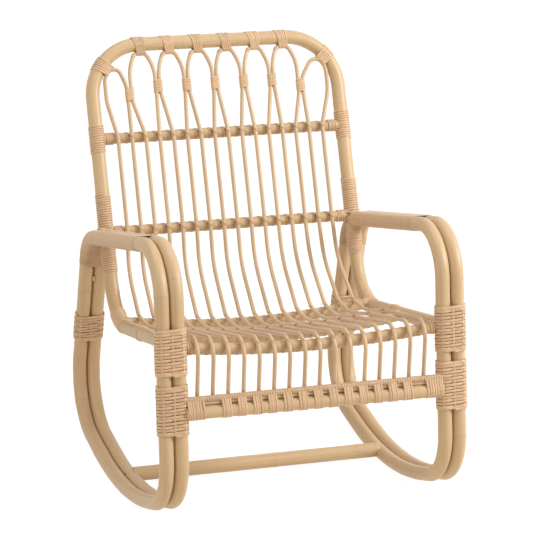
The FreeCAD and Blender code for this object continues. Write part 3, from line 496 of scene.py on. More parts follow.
def axis(path, across, middle):
    """Places about a line; s runs along it from its middle, which lies at a distance from its start."""
    gone = distances(path)
    tangents = unit(np.gradient(path, gone, axis=0))

    def place(s):
        tangent = unit(between(middle + s, gone, tangents))
        side = unit(across - tangent * (tangent @ across)[:, None])
        return between(middle + s, gone, path), side, np.cross(tangent, side)

    return place


def straight(point, way, across):
    """A straight line for a winding, with its middle at a point."""
    ends = np.array([point - way * AXIS_REACH, point, point + way * AXIS_REACH])
    return axis(ends, across, AXIS_REACH)


def slanted(centre, bar_way, outward, slope):
    """The line for a strand that crosses a bar's face on a slope, up to the right if that is positive."""
    way = bar_way * math.cos(slope) + np.cross(outward, bar_way) * math.sin(slope)
    return straight(centre, np.cross(way, outward), way)


# Strands: sections that are one wide and one thick, and the turns that they make

UNDER_HALF, UNDER_DEPTH = 0.4, 0.12
END_TAPER = 0.55
STRAND_STEP = 2.2
WAVER = 0.045


def strip_profile(arc_points, flatness):
    """A half-round section, by points round it."""
    angle = np.linspace(0.0, math.pi, arc_points)
    top = np.stack([np.cos(angle) / 2, np.sin(angle) ** flatness], axis=-1)
    under = np.array([[-UNDER_HALF, -UNDER_DEPTH], [UNDER_HALF, -UNDER_DEPTH]])
    return np.concatenate([top, under])


SPLIT_CANE = strip_profile(arc_points=8, flatness=0.5)
ROUND_CANE = strip_profile(arc_points=8, flatness=0.68)
THREAD = strip_profile(arc_points=4, flatness=0.8)
Strip = namedtuple("Strip", "width thick profile", defaults=[SPLIT_CANE])


def strand(skin, points, normals, strip):
    """A split strand that lies on points and faces outward."""
    tangents = unit(np.gradient(points, axis=0))
    outward = unit(normals - tangents * np.sum(normals * tangents, axis=1)[:, None])
    side = np.cross(outward, tangents)
    wide = np.full(len(points), strip.width)
    wide[[0, -1]] *= END_TAPER
    x = strip.profile[:, 0] * wide[:, None]
    y = strip.profile[:, 1] * strip.thick * np.ones_like(x)
    rings = points[:, None] + side[:, None] * x[..., None] + outward[:, None] * y[..., None]
    along = np.broadcast_to(distances(points)[:, None], x.shape) + rng.uniform(0, FIBRE_SPREAD)
    skin.add(rings, np.stack([x, y, along], axis=-1), rng.uniform(-1, 1))


def coil(skin, place, outline, turns, pitch, strip, start=0.0, lift=None, fan=None):
    """A strand wound round a line; lift moves it off the outline and fan shifts it along the line."""
    q = np.linspace(0.0, turns, int(turns * outline.lap / STRAND_STEP) + 2)
    x, y, out_x, out_y = outline.at(start + q).T
    knots = math.ceil(turns) + 2
    waver = np.interp(q, np.arange(knots), rng.normal(0, WAVER, knots))
    s = (q - turns / 2 + waver) * pitch
    if fan is not None:
        s = fan(s, x)
    origin, across, up = place(s)
    normals = across * out_x[:, None] + up * out_y[:, None]
    points = origin + across * x[:, None] + up * y[:, None]
    if lift is not None:
        points = points + normals * lift(q)[:, None]
    strand(skin, points, normals, strip)


# Plain windings round one pole, and crossed lashes

STRAND_WIDTH = 5.0
STRAND_THICK = 2.0
STRAND_PITCH = 5.1
WOUND = Strip(STRAND_WIDTH, STRAND_THICK, ROUND_CANE)
LASH = Strip(STRAND_WIDTH, STRAND_THICK)
CROSS_TILT = math.radians(30)
CROSS_TURNS = 1.12
CROSS_START = 0.75


def winding(skin, place, turns, radius):
    """Close turns round one pole, begun anywhere round it."""
    coil(skin, place, round_pole(radius), turns, STRAND_PITCH, WOUND, start=rng.uniform())


def cross_lash(skin, centre):
    """Two strands crossed over an upright where a bar meets it."""
    radius = POLE_R + STRAND_THICK
    loop = Outline((0.0, 0.0, radius / math.cos(CROSS_TILT), radius))
    for way in (-1, 1):
        place = slanted(centre, AXIS_X, BACK_FRONT, way * CROSS_TILT)
        coil(skin, place, loop, CROSS_TURNS, STRAND_PITCH, LASH, start=CROSS_START)


# Woven bands: one weft that spirals over and under an odd number of stakes

# Weft and stakes stand off the poles by a mean, and weave in and out by a wave
STAKES = 7
STAKE = Strip(width=4.8, thick=1.1)
STAKE_MEAN, STAKE_WAVE = 1.0, 0.9
WEFT = Strip(width=5.7, thick=1.7)
WEFT_PITCH = 6.5
WEFT_MEAN, WEFT_WAVE = 0.95, 1.0
WEFT_SNAP = 1.3
EDGE = Strip(STRAND_WIDTH, WEFT.thick)
EDGE_TURNS = 1.3
EDGE_PITCH = 4.0
EDGE_LIFT = 1.1
FRONT_SHARE, BACK_SHARE = 0.75, 0.25
PAIR_CLEAR = 0.2
PAIR_SKIN_R = POLE_R + PAIR_CLEAR
PAIR = Outline(disc(-PAIR_HALF, PAIR_SKIN_R), disc(PAIR_HALF, PAIR_SKIN_R))


def woven_band(foot, way, length):
    """A band round a pair of leg poles, from its foot up."""
    skin = Skin()
    middle = foot + way * (length / 2)
    place = straight(middle, way, AXIS_X)
    turns = length / WEFT_PITCH
    coil(
        skin, place, PAIR, turns, WEFT_PITCH, WEFT, start=FRONT_SHARE,
        lift=lambda q: WEFT_MEAN + WEFT_WAVE * np.tanh(WEFT_SNAP * np.cos(math.pi * STAKES * q)),
    )
    s = np.linspace(-length / 2, length / 2, int(length / STRAND_STEP))
    origin, across, up = place(s)
    for stake in range(STAKES):
        x, y, out_x, out_y = PAIR.at(np.array([FRONT_SHARE + stake / STAKES]))[0]
        normals = across * out_x + up * out_y
        phase = s / WEFT_PITCH + turns / 2 - stake / STAKES
        lift = STAKE_MEAN - STAKE_WAVE * np.cos(math.pi * phase) * (-1) ** stake
        strand(skin, origin + across * x + up * y + normals * lift[:, None], normals, STAKE)
    for end in (-1, 1):
        edge = straight(middle + way * (end * (length - WEFT_PITCH) / 2), way, AXIS_X)
        coil(
            skin, edge, PAIR, EDGE_TURNS, EDGE_PITCH, EDGE, start=BACK_SHARE,
            lift=lambda q: np.full_like(q, EDGE_LIFT),
        )
    return skin


# The fine wrap of the arms

WRAP_FRONT = np.array([0.0, -98.0, 566.3])
WRAP_REAR = np.array([0.0, 313.2, 437.0])
WRAP_PITCH = 2.9
WRAP = Strip(width=2.9, thick=0.95, profile=THREAD)


def arm_wrap(x):
    skin = Skin()
    path = rounded(moved_across((WRAP_FRONT, ARM_REAR, WRAP_REAR), x), [ARM_REAR_R])
    length = distances(path)[-1]
    coil(skin, axis(path, AXIS_X, length / 2), PAIR, length / WRAP_PITCH, WRAP_PITCH, WRAP)
    return skin


# Ties where the canes cross the bars: turns round the bar and one strand slung across the cane

TIE = Strip(width=3.4, thick=0.75)
TIE_TURNS = 2.0
TIE_PITCH = 3.2
TIE_GAP = 1.4
TIE_STEP = CANE_R + TIE_TURNS * TIE_PITCH / 2 + TIE_GAP
TIE_START = 0.5
SLING_SLOPE = math.radians(52)
SLING_PITCH = 1.2
BACK_SLING_TURNS = 1.12
SEAT_SLING_TURNS = 0.2
HITCH_TURNS = 1.12
HITCH_STEP = 3.0
HITCH_START = 0.7
REAR_END_X = 262.0
FIRST_BACK_TIE = 1
# For each seat bar, the first cane that is tied to it and how far its ties lean to the front
SEAT_TIES = {"rear": (0, math.radians(21)), "middle": (0, 0.0), "front": (1, math.radians(38))}


def sling(skin, centre, bar_way, outward, radius, cane_off, turns):
    """One strand slung over a cane and round the bar; a short one stays on the cane."""
    loop = Outline(
        (0.0, 0.0, radius / math.sin(SLING_SLOPE), radius),
        (0.0, cane_off, CANE_R / math.cos(SLING_SLOPE), CANE_R),
    )
    place = slanted(centre, bar_way, outward, -SLING_SLOPE)
    over_cane = loop.share[loop.SAMPLES // 4]
    coil(skin, place, loop, turns, SLING_PITCH, TIE, start=over_cane - turns / 2)


def tie(skin, centre, bar_way, outward, radius, cane_off, turns):
    """All of one tie, at the left of a cane."""
    beside = straight(centre - bar_way * TIE_STEP, bar_way, outward)
    coil(skin, beside, round_pole(radius), TIE_TURNS, TIE_PITCH, TIE, start=TIE_START)
    sling(skin, centre, bar_way, outward, radius, cane_off, turns)


def hitch(skin, centre, bar_way, outward, radius):
    """The strand's way back round the bar, rising to the right and hidden under the cane."""
    loop = Outline((0.0, 0.0, radius / math.sin(SLING_SLOPE), radius))
    place = slanted(centre - bar_way * HITCH_STEP, bar_way, outward, SLING_SLOPE)
    coil(skin, place, loop, HITCH_TURNS, SLING_PITCH, TIE, start=HITCH_START)


def back_bar_ties(up):
    skin = Skin()
    for number in range(FIRST_BACK_TIE, CANES):
        centre = on_back(cane_x(number, PITCH_BACK), up)
        tie(skin, centre, AXIS_X, BACK_FRONT, BAR_R, ON_BACK_BAR, BACK_SLING_TURNS)
    return skin


def seat_bar_ties(bar):
    skin = Skin()
    first, lean = SEAT_TIES[bar]
    outward = np.array([0.0, -math.sin(lean), math.cos(lean)])
    for number in range(first, CANES):
        x = cane_x(number, PITCH_FRONT)
        centre = seat_bar_centre(bar, x)
        way = unit(seat_bar_centre(bar, x + 1) - seat_bar_centre(bar, x - 1))
        tie(skin, centre, way, outward, SEAT_BAR_R, ON_SEAT_BAR, SEAT_SLING_TURNS)
        if bar == "rear":
            hitch(skin, centre, way, outward, SEAT_BAR_R)
    if bar == "rear":
        end = straight(seat_bar_centre(bar, REAR_END_X), AXIS_X, AXIS_Y)
        coil(skin, end, round_pole(SEAT_BAR_R), TIE_TURNS, TIE_PITCH, TIE)
    return skin


# Bindings of the arches

PAIR_TURNS = 6
PAIR_START = 0.2
PAIR_STRIP = Strip(STRAND_WIDTH, 1.5, ROUND_CANE)
RAIL_TURNS = 5
RAIL_PITCH = 5.0
RAIL_START = 0.5
RAIL_STRIP = Strip(STRAND_WIDTH, 1.6)
RAIL_GAP = 1.2
# Shift and spread of the turns over the rail, and where they gather under an arch's crown
FAN_TOP, FAN_FOOT = (-2.0, 1.12), (2.5, 0.78)
FAN_LENGTH = 38.0
SHOULDER_TURNS = 2.0
SHOULDER_PITCH = 3.2
SHOULDER_START = 0.3
SHOULDER_OUT, SHOULDER_DOWN = 3.0, 6.0
CORNER_TURNS = 6
CORNER_ANGLE = math.radians(38)
CORNER_CROWN_IN = 17.6


def pair_bindings():
    """Turns that join the legs of neighbouring arches."""
    skin = Skin()
    half = CANE_R + CLEAR
    loop = Outline(disc(-half, CANE_R), disc(half, CANE_R))
    for pair in range(ARCHES - 1):
        place = straight(on_back(arch_x(pair + 0.5), pair_up(pair), PAIR_FORWARD), BACK_UP, AXIS_X)
        coil(skin, place, loop, PAIR_TURNS, PAIR_LENGTH / PAIR_TURNS, PAIR_STRIP, start=PAIR_START)
    return skin


def rail_fan(s, x):
    """Spreads the turns over the rail and gathers them under the arch's crown."""
    share = (x + POLE_R) / FAN_LENGTH
    shift, width = (top + share * (foot - top) for top, foot in zip(FAN_TOP, FAN_FOOT))
    return shift + s * width


def rail_bindings(hairpins):
    """Turns that tie the crowns of the arches to the top rail and its corners."""
    skin = Skin()
    to_crown = unit(BACK_FRONT * ARCH_FORWARD - BACK_UP * CROWN_DROP)
    loop = Outline(disc(0.0, POLE_R), disc(POLE_R + CANE_R + RAIL_GAP, CANE_R))
    for arch in range(1, ARCHES - 1):
        place = straight(on_back(arch_x(arch), BACK_LENGTH), AXIS_X, to_crown)
        coil(skin, place, loop, RAIL_TURNS, RAIL_PITCH, RAIL_STRIP, start=RAIL_START, fan=rail_fan)
        shoulder_x = arch_x(arch) - CROWN_HALF - SHOULDER_OUT
        shoulder = on_back(shoulder_x, CROWN_UP - SHOULDER_DOWN, ARCH_FORWARD)
        place = axis(hairpins[arch], BACK_FRONT, nearest(hairpins[arch], shoulder))
        coil(skin, place, round_pole(CANE_R), SHOULDER_TURNS, SHOULDER_PITCH, TIE, start=SHOULDER_START)
    rail = back_path()
    loop = Outline(disc(0.0, POLE_R), disc(PAIR_FORWARD, CANE_R, CORNER_CROWN_IN))
    for sign in SIDES.values():
        outward = AXIS_X * (sign * math.cos(CORNER_ANGLE)) + BACK_UP * math.sin(CORNER_ANGLE)
        centre = on_back(sign * (BACK_HALF - BACK_CORNER_R), BACK_LENGTH - BACK_CORNER_R)
        place = axis(rail, BACK_FRONT, nearest(rail, centre + outward * BACK_CORNER_R))
        coil(skin, place, loop, CORNER_TURNS, RAIL_PITCH, LASH, start=RAIL_START)
    return skin


# The apron: a bead of turns along its top cane, and groups of turns round all of it

APRON_END = 274.5
APRON_LOOP = Outline(disc(0.0, APRON_R), disc(APRON_CANE_HIGH, CANE_R))
BEAD = Strip(width=5.2, thick=1.6)
BEAD_PITCH = 5.3
BEAD_LIFT = 0.9
GROUP_PITCH = 5.2
GROUP_FILL = 0.98
GROUP = Strip(GROUP_PITCH * GROUP_FILL, 1.5)
# The canes that have a group of turns at their left
GROUP_CANES = range(2, CANES - 1)
GROUP_LEFT = 18.6
GROUP_TURNS = 4
END_TURNS = 7
BEHIND_CANE = 6.2
# Where a turn begins and what share of the lap it takes: all round, or over the front alone
WHOLE_TURN = (0.52, 1.02)
FRONT_TURN = (0.03, 0.46)


def apron_turns(skin, left, turns):
    """Turns round the apron; one that would run into an upright cane stays on the front."""
    canes = np.array([cane_x(number, PITCH_FRONT) for number in range(CANES)])
    for turn in range(turns):
        x = left + (turn + 0.5) * GROUP_PITCH
        place = straight(APRON + AXIS_X * x, AXIS_X, AXIS_Z)
        start, share = WHOLE_TURN if np.min(np.abs(canes - x)) > BEHIND_CANE else FRONT_TURN
        coil(skin, place, APRON_LOOP, share, GROUP_PITCH, GROUP, start=start)


def apron_windings():
    skin = Skin()
    path = bar_path(APRON + AXIS_Z * APRON_CANE_HIGH, APRON_END)
    turns = 2 * APRON_END / BEAD_PITCH
    coil(skin, axis(path, AXIS_Y, APRON_END), round_pole(CANE_R + BEAD_LIFT), turns, BEAD_PITCH, BEAD)
    for number in GROUP_CANES:
        apron_turns(skin, cane_x(number, PITCH_FRONT) - GROUP_LEFT, GROUP_TURNS)
    apron_turns(skin, -APRON_END, END_TURNS)
    apron_turns(skin, APRON_END - END_TURNS * GROUP_PITCH, END_TURNS)
    return skin


# Windings on the uprights, the seat rails and the ends of the bars, and the wedges of the rear legs

# For each winding on an upright, its way up the back and its turns
UPRIGHT_WINDINGS = {"upper_joint": (UPPER_BAR_UP, 12), "above_arm": (242.0, 14), "below_arm": (134.5, 10)}
SEAT_CORNER_TURNS, SEAT_CORNER_DOWN = 12, 30.0
RAIL_WINDING_Y, RAIL_WINDING_TURNS = 10.0, 4
BAR_END_X, BAR_END_TURNS = 254.5, 4
FRONT_END_X, FRONT_END_TURNS = 260.5, 2
WEDGE_R, WEDGE_LENGTH, WEDGE_Z = 3.0, 10.0, 400.0
WEDGE_STEP = 2.0


def upright_winding(name, x):
    skin = Skin()
    up, turns = UPRIGHT_WINDINGS[name]
    winding(skin, straight(on_back(x, up), BACK_UP, AXIS_X), turns, POLE_R)
    if name == "above_arm":
        cross_lash(skin, on_back(x, MIDDLE_BAR_UP))
    return skin


def seat_corner_winding(x):
    skin = Skin()
    rail = rail_path(x)
    middle = nearest(rail, SEAT_CORNER + AXIS_X * x) - SEAT_CORNER_DOWN
    winding(skin, axis(rail, AXIS_X, middle), SEAT_CORNER_TURNS, POLE_R)
    return skin


def rail_winding(x):
    skin = Skin()
    spot = SEAT_CORNER + AXIS_X * x + RAIL_WAY * ((RAIL_WINDING_Y - SEAT_CORNER[1]) / RAIL_WAY[1])
    winding(skin, straight(spot, RAIL_WAY, AXIS_X), RAIL_WINDING_TURNS, POLE_R)
    return skin


def end_windings(ends, turns, radius):
    skin = Skin()
    for end in ends:
        winding(skin, straight(end, AXIS_X, AXIS_Y), turns, radius)
    return skin


def leg_wedge(x):
    """A short peg in the groove at the front of a pair of rear leg poles."""
    forward = math.sqrt((POLE_R + WEDGE_R + TOUCH) ** 2 - PAIR_HALF ** 2)
    foot = at_height(REAR_FOOT, REAR_LEG_WAY, WEDGE_Z) + AXIS_X * x
    foot = foot + np.array([0.0, -REAR_LEG_WAY[2], REAR_LEG_WAY[1]]) * forward
    path = np.array([foot + REAR_LEG_WAY * (WEDGE_LENGTH * share) for share in (0.0, 0.5, 1.0)])
    return rod(path, WEDGE_R, CANE_SIDES, WEDGE_STEP, CANE_RINGS, AXIS_X)


# Shader nodes

MIX_COLOURS, MIX_RESULT = (6, 7), 2


def feed(tree, socket, value):
    """Sets a socket, or links it where the value is another socket."""
    if isinstance(value, bpy.types.NodeSocket):
        tree.links.new(value, socket)
    else:
        socket.default_value = value


def shader(tree, kind, **values):
    """A shader node with its sockets fed by name, with an underscore for a space."""
    made = tree.nodes.new(kind)
    for name, value in values.items():
        feed(tree, made.inputs[name.replace("_", " ")], value)
    return made


def new_material(name):
    material = bpy.data.materials.new(name)
    material.use_nodes = True
    material.node_tree.nodes.clear()
    return material, material.node_tree


def attribute(tree, name, output):
    made = tree.nodes.new("ShaderNodeAttribute")
    made.attribute_name = name
    return made.outputs[output]


def noise(tree, place, scale, detail, rough=0.5):
    made = shader(tree, "ShaderNodeTexNoise", Vector=place, Scale=scale, Detail=detail, Roughness=rough)
    return made.outputs["Fac"]


def stretched(tree, place, scale):
    """Places with a scale of their own for each axis."""
    return shader(tree, "ShaderNodeMapping", Vector=place, Scale=scale).outputs["Vector"]


def fibre_noise(tree, across, along, detail, rough):
    """Noise drawn out along the fibres."""
    place = stretched(tree, attribute(tree, "fibre", "Vector"), (across, across, along))
    return noise(tree, place, 1.0, detail, rough)


def ramp(tree, value, stops):
    made = shader(tree, "ShaderNodeValToRGB", Fac=value)
    while len(made.color_ramp.elements) < len(stops):
        made.color_ramp.elements.new(1.0)
    for element, (at, colour) in zip(made.color_ramp.elements, stops):
        element.position = at
        element.color = (*colour, 1.0)
    return made.outputs["Color"]


def multiply(tree, share, first, second):
    """Multiplies two colours; the mix node's colour sockets go by number, because their names repeat."""
    made = tree.nodes.new("ShaderNodeMix")
    made.data_type = "RGBA"
    made.blend_type = "MULTIPLY"
    sockets = [made.inputs["Factor"]] + [made.inputs[number] for number in MIX_COLOURS]
    for socket, value in zip(sockets, (share, first, second)):
        feed(tree, socket, value)
    return made.outputs[MIX_RESULT]


def spread(tree, value, low, high, first=0.0, last=1.0):
    """Moves a value from the range first to last into the range low to high."""
    made = shader(
        tree, "ShaderNodeMapRange", Value=value, From_Min=first, From_Max=last, To_Min=low, To_Max=high
    )
    return made.outputs["Result"]


def blend(tree, share, first, second):
    """Mixes two shaders; the share is that of the second."""
    made = shader(tree, "ShaderNodeMixShader", Fac=share)
    for socket, source in zip(made.inputs[1:], (first, second)):
        tree.links.new(source.outputs[0], socket)
    return made


def seen_rays(tree):
    """One for rays that show a surface to the camera, straight or by gloss or glass."""
    light_path = tree.nodes.new("ShaderNodeLightPath")
    total = light_path.outputs["Is Camera Ray"]
    for ray in ("Is Glossy Ray", "Is Transmission Ray"):
        add = tree.nodes.new("ShaderNodeMath")
        add.operation = "MAXIMUM"
        tree.links.new(total, add.inputs[0])
        tree.links.new(light_path.outputs[ray], add.inputs[1])
        total = add.outputs[0]
    return total


# Procedural materials: colours are stops from dark to light, and streaks are scales across and along

STREAK_DETAIL, STREAK_ROUGH = 5.0, 0.62
STREAK_DEPTH, GRAIN_DEPTH = 0.0006, 0.0002
PATCHES = ((0.25, (0.90, 0.88, 0.85)), (0.75, (1.0, 1.0, 1.0)))
RING_SHADE = 0.2
RING_TINT = (0.62, 0.47, 0.33, 1.0)
GLOSS_BELOW, GLOSS_ABOVE = 0.07, 0.09
COAT, COAT_ROUGHNESS = 0.12, 0.28
POLE_COLOURS = ((0.2, (0.58, 0.405, 0.23)), (0.5, (0.655, 0.48, 0.285)), (0.8, (0.71, 0.54, 0.34)))
CANE_COLOURS = ((0.2, (0.56, 0.38, 0.22)), (0.5, (0.67, 0.495, 0.315)), (0.8, (0.75, 0.59, 0.395)))
STRAND_COLOURS = ((0.2, (0.585, 0.385, 0.23)), (0.5, (0.695, 0.49, 0.31)), (0.8, (0.77, 0.575, 0.385)))
# The ties: the strand colours darkened as painted shade, for the shade of the canes beside them and the
# gaps round them
TIE_PAINTED_SHADE_COLOURS = ((0.2, (0.49, 0.32, 0.18)), (0.5, (0.605, 0.42, 0.25)), (0.8, (0.69, 0.505, 0.32)))
POLE_SKIN = {"tone_share": 0.03, "roughness": 0.46, "streaks": (420.0, 5.0), "bump": 0.25}
CANE_SKIN = {"tone_share": 0.05, "roughness": 0.44, "streaks": (700.0, 9.0), "bump": 0.3}
STRAND_SKIN = {"tone_share": 0.08, "roughness": 0.36, "streaks": (900.0, 14.0), "bump": 0.3}
STEEL_COLOURS = ((0.3, (0.20, 0.19, 0.18)), (0.7, (0.32, 0.31, 0.30)))
STEEL_BRUSHING = (4000.0, 300.0, 300.0)
STEEL_PATCHES = 220.0
STEEL_GLOSS = (0.42, 0.62)


def rattan(name, stops, tone_share, roughness, streaks, bump):
    """Peeled rattan: streaks along the fibres, slow patches, darker growth rings and a satin skin."""
    material, tree = new_material(name)
    streak = fibre_noise(tree, *streaks, STREAK_DETAIL, STREAK_ROUGH)
    patch = fibre_noise(tree, across=26.0, along=7.0, detail=3.0, rough=0.5)
    grain = fibre_noise(tree, across=1500.0, along=60.0, detail=3.0, rough=0.6)
    patched = multiply(tree, 1.0, ramp(tree, streak, stops), ramp(tree, patch, PATCHES))
    tone = spread(tree, attribute(tree, "tone", "Fac"), 1.0 - tone_share, 1.0 + tone_share, -1.0, 1.0)
    grey = shader(tree, "ShaderNodeCombineColor", Red=tone, Green=tone, Blue=tone).outputs[0]
    toned = multiply(tree, 1.0, patched, grey)
    ring = spread(tree, attribute(tree, "ring", "Fac"), 0.0, RING_SHADE)
    ringed = multiply(tree, ring, toned, RING_TINT)
    gloss = spread(tree, grain, roughness - GLOSS_BELOW, roughness + GLOSS_ABOVE)
    coarse = shader(tree, "ShaderNodeBump", Height=streak, Strength=bump, Distance=STREAK_DEPTH)
    fine = shader(
        tree, "ShaderNodeBump", Height=grain, Strength=bump, Distance=GRAIN_DEPTH,
        Normal=coarse.outputs["Normal"],
    )
    skin = shader(
        tree, "ShaderNodeBsdfPrincipled", Base_Color=ringed, Roughness=gloss, Normal=fine.outputs["Normal"],
        Coat_Weight=COAT, Coat_Roughness=COAT_ROUGHNESS,
    )
    shader(tree, "ShaderNodeOutputMaterial", Surface=skin.outputs["BSDF"])
    return material


def steel():
    """Zinc-plated screws: fine brushing and dull patches."""
    material, tree = new_material("screw_steel_look")
    place = shader(tree, "ShaderNodeTexCoord").outputs["Object"]
    lines = noise(tree, stretched(tree, place, STEEL_BRUSHING), 1.0, detail=4.0)
    dull = noise(tree, place, STEEL_PATCHES, detail=3.0)
    colour = ramp(tree, dull, STEEL_COLOURS)
    gloss = spread(tree, lines, *STEEL_GLOSS)
    skin = shader(tree, "ShaderNodeBsdfPrincipled", Base_Color=colour, Metallic=1.0, Roughness=gloss)
    shader(tree, "ShaderNodeOutputMaterial", Surface=skin.outputs["BSDF"])
    return material


pole_look = rattan("rattan_pole_look", POLE_COLOURS, **POLE_SKIN)
cane_look = rattan("rattan_cane_look", CANE_COLOURS, **CANE_SKIN)
# Painted shade: the ties are darker than the other strands, for the shade that falls on them beside the
# canes
tie_painted_shade_look = rattan("tie_strand_painted_shade_look", TIE_PAINTED_SHADE_COLOURS, **STRAND_SKIN)
strand_look = rattan("binding_strand_look", STRAND_COLOURS, **STRAND_SKIN)
steel_look = steel()


def show_pole(name, path, radius=POLE_R, hint=AXIS_X):
    show(name, rod(path, radius, POLE_SIDES, POLE_STEP, POLE_RINGS, hint), pole_look)


def show_cane(name, path, hint):
    show(name, rod(path, CANE_R, CANE_SIDES, CANE_STEP, CANE_RINGS, hint), cane_look)


def show_binding(name, skin, material=strand_look):
    show(name, skin, material)


# The poles and bars

for side, sign in SIDES.items():
    show_pole(side + "_outer_loop", loop_path(sign * (PAIR_MIDDLE + PAIR_HALF)))
    show_pole(side + "_inner_loop", loop_path(sign * (PAIR_MIDDLE - PAIR_HALF)))
    show_pole(side + "_seat_rail", rail_path(sign * BACK_HALF))
show_pole("back_frame", back_path(), hint=BACK_FRONT)
for bar, up in BACK_BARS.items():
    show_pole(bar + "_back_bar", bar_path(on_back(0, up), BAR_HALF), BAR_R, AXIS_Y)
for bar in SEAT_BARS:
    show_pole("seat_%s_bar" % bar, seat_bar_path(bar), SEAT_BAR_R, AXIS_Y)
show_pole("apron_pole", bar_path(APRON, LOOP_BAR_HALF), APRON_R, AXIS_Y)
show_pole("floor_stretcher", bar_path(STRETCHER, STRETCHER_HALF), STRETCHER_R, AXIS_Y)

# The canes

hairpins = [hairpin_path(arch) for arch in range(ARCHES)]
for number, path in enumerate(hairpins, start=1):
    show_cane("cane_hairpin_%d" % number, path, AXIS_X)
for name, up in (("apron_middle_cane", APRON_CANE_LOW), ("apron_top_cane", APRON_CANE_HIGH)):
    show_cane(name, bar_path(APRON + AXIS_Z * up, LOOP_BAR_HALF), AXIS_Y)

# The bands, wraps, windings and wedges of the two sides

# For each band, the foot and the way of its leg, the height of its lower edge, and its length
BANDS = {
    "front_leg_upper_band": (FRONT_FOOT, FRONT_LEG_WAY, 332.0, 93.0),
    "front_leg_lower_band": (FRONT_FOOT, FRONT_LEG_WAY, 211.5, 100.0),
    "rear_leg_band": (REAR_FOOT, REAR_LEG_WAY, 258.0, 62.0),
}
for side, sign in SIDES.items():
    pair_x, upright_x = sign * PAIR_MIDDLE, sign * BACK_HALF
    for name, (leg_foot, way, height, length) in BANDS.items():
        foot = at_height(leg_foot, way, height) + AXIS_X * pair_x
        show_binding("%s_%s" % (side, name), woven_band(foot, way, length))
    show_binding(side + "_arm_wrap", arm_wrap(pair_x))
    for name in UPRIGHT_WINDINGS:
        show_binding("%s_%s_winding" % (side, name), upright_winding(name, upright_x))
    show_binding(side + "_seat_corner_winding", seat_corner_winding(upright_x))
    show_binding(side + "_rail_winding", rail_winding(upright_x))
    show_binding(side + "_leg_wedge", leg_wedge(pair_x))

# The windings, ties and bindings of the bars, the arches and the apron

for bar, up in BACK_BARS.items():
    ends = [on_back(sign * BAR_END_X, up) for sign in SIDES.values()]
    show_binding(bar + "_bar_end_windings", end_windings(ends, BAR_END_TURNS, BAR_R))
front_ends = [seat_bar_centre("front", sign * FRONT_END_X) for sign in SIDES.values()]
show_binding("front_bar_end_windings", end_windings(front_ends, FRONT_END_TURNS, SEAT_BAR_R))
# The ties take the material with the painted shade
for bar, up in BACK_BARS.items():
    show_binding(bar + "_bar_ties", back_bar_ties(up), tie_painted_shade_look)
for bar in SEAT_BARS:
    show_binding("seat_%s_bar_ties" % bar, seat_bar_ties(bar), tie_painted_shade_look)
show_binding("arch_pair_bindings", pair_bindings())
show_binding("top_rail_bindings", rail_bindings(hairpins))
show_binding("apron_windings", apron_windings())

# The screws keep their solids and take a new material

for name in ("loop_screws", "bar_screws", "leg_screws"):
    screws = frame["nodes"][name]
    screws.data.materials.clear()
    screws.data.materials.append(steel_look)

# Floor, light and camera, in metres and watts apart from the camera's place

WHITE = (1.0, 1.0, 1.0, 1.0)
FLOOR_HALF = 7.0
FLOOR_TINTS = ((0.0, (0.86, 0.79, 0.70)), (1.0, (0.9, 0.83, 0.74)))
FLOOR_SPECKS = 40.0
FLOOR_SHADOW = 0.22
FLOOR_GLOW = 1.2
WORLD_TINT = (1.0, 0.87, 0.70, 1.0)
WORLD_LIGHT = 0.46
# For each light its name, place, target, width and power
LIGHTS = (
    ("key", (2.9, -1.6, 2.3), (0.0, 0.0, 0.4), 1.4, 104.0),
    ("fill", (-2.6, -1.0, 1.5), (0.0, 0.1, 0.3), 1.6, 14.0),
    ("top", (-0.3, 0.2, 3.6), (0.0, 0.0, 0.4), 2.0, 28.0),
)
FOCAL_PIXELS = 2753.7
IMAGE_PIXELS = 540
SENSOR = 36.0
CAMERA_AZIMUTH = math.radians(-19.07)
CAMERA_ELEVATION = math.radians(13.10)
CAMERA_DISTANCE = 5766.9
CAMERA_RIGHT = -3.33
CAMERA_UP = -2.97
CAMERA_TARGET = np.array([0.0, 0.0, 470.0])
CAMERA_REACH = 100.0


def floor():
    """A pale floor that shows white to the camera and keeps the chair's shadow."""
    mesh = bpy.data.meshes.new("floor")
    corners = [(x * FLOOR_HALF, y * FLOOR_HALF, 0) for x, y in ((-1, -1), (1, -1), (1, 1), (-1, 1))]
    mesh.from_pydata(corners, [], [(0, 1, 2, 3)])
    material, tree = new_material("floor_look")
    place = shader(tree, "ShaderNodeTexCoord").outputs["Object"]
    tint = ramp(tree, noise(tree, place, FLOOR_SPECKS, detail=2.0), FLOOR_TINTS)
    paper = shader(tree, "ShaderNodeBsdfDiffuse", Color=tint)
    glow = shader(tree, "ShaderNodeEmission", Color=WHITE, Strength=FLOOR_GLOW)
    final = blend(tree, seen_rays(tree), paper, blend(tree, FLOOR_SHADOW, glow, paper))
    shader(tree, "ShaderNodeOutputMaterial", Surface=final.outputs[0])
    mesh.materials.append(material)
    ground = bpy.data.objects.new("floor", mesh)
    bpy.context.collection.objects.link(ground)


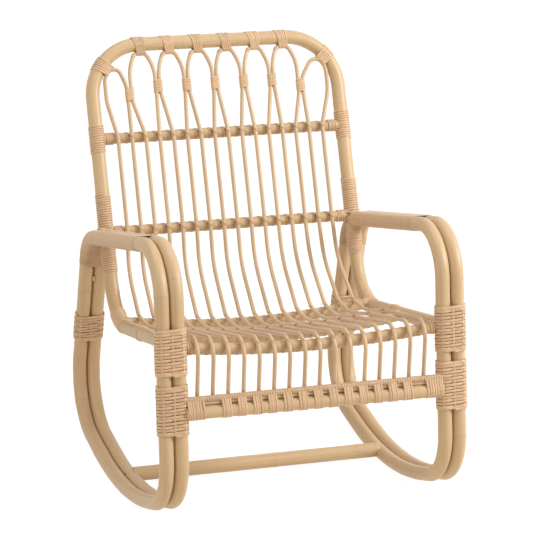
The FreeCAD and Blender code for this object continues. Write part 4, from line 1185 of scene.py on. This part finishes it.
def world():
    """A warm, soft light on the chair, which shows white to the camera."""
    sky = bpy.data.worlds.new("studio")
    bpy.context.scene.world = sky
    sky.use_nodes = True
    tree = sky.node_tree
    tree.nodes.clear()
    soft = shader(tree, "ShaderNodeBackground", Color=WORLD_TINT, Strength=WORLD_LIGHT)
    white = shader(tree, "ShaderNodeBackground", Color=WHITE, Strength=1.0)
    both = blend(tree, seen_rays(tree), soft, white)
    shader(tree, "ShaderNodeOutputWorld", Surface=both.outputs[0])


def put(name, data, place, right, up, back):
    """Sets a light or the camera at a place, by its own three axes."""
    made = bpy.data.objects.new(name, data)
    bpy.context.collection.objects.link(made)
    turn = np.stack([right, up, back], axis=-1)
    made.matrix_world = Matrix.Translation(place) @ Matrix(turn.tolist()).to_4x4()
    return made


def area_light(name, place, target, size, power):
    lamp = bpy.data.lights.new(name, "AREA")
    lamp.shape = "DISK"
    lamp.size = size
    lamp.energy = power
    back = unit(np.array(place) - np.array(target))
    right = unit(np.cross(AXIS_Z, back))
    put(name, lamp, place, right, np.cross(back, right), back)


def camera():
    """The photograph's viewpoint, found in the upright frame and set down with the chair."""
    level = math.cos(CAMERA_ELEVATION)
    back = np.array([
        math.sin(CAMERA_AZIMUTH) * level, -math.cos(CAMERA_AZIMUTH) * level, math.sin(CAMERA_ELEVATION)
    ])
    right = np.array([math.cos(CAMERA_AZIMUTH), math.sin(CAMERA_AZIMUTH), 0.0])
    up = np.cross(back, right)
    eye = CAMERA_TARGET + back * CAMERA_DISTANCE + right * CAMERA_RIGHT + up * CAMERA_UP
    lens = bpy.data.cameras.new("camera")
    lens.sensor_width = SENSOR
    lens.sensor_fit = "HORIZONTAL"
    lens.lens = FOCAL_PIXELS / IMAGE_PIXELS * SENSOR
    lens.clip_end = CAMERA_REACH
    ways = [REST_TURN @ way for way in (right, up, back)]
    bpy.context.scene.camera = put("camera", lens, rest(eye), *ways)


floor()
world()
for light in LIGHTS:
    area_light(*light)
camera()
bpy.context.scene.view_settings.view_transform = "Standard"
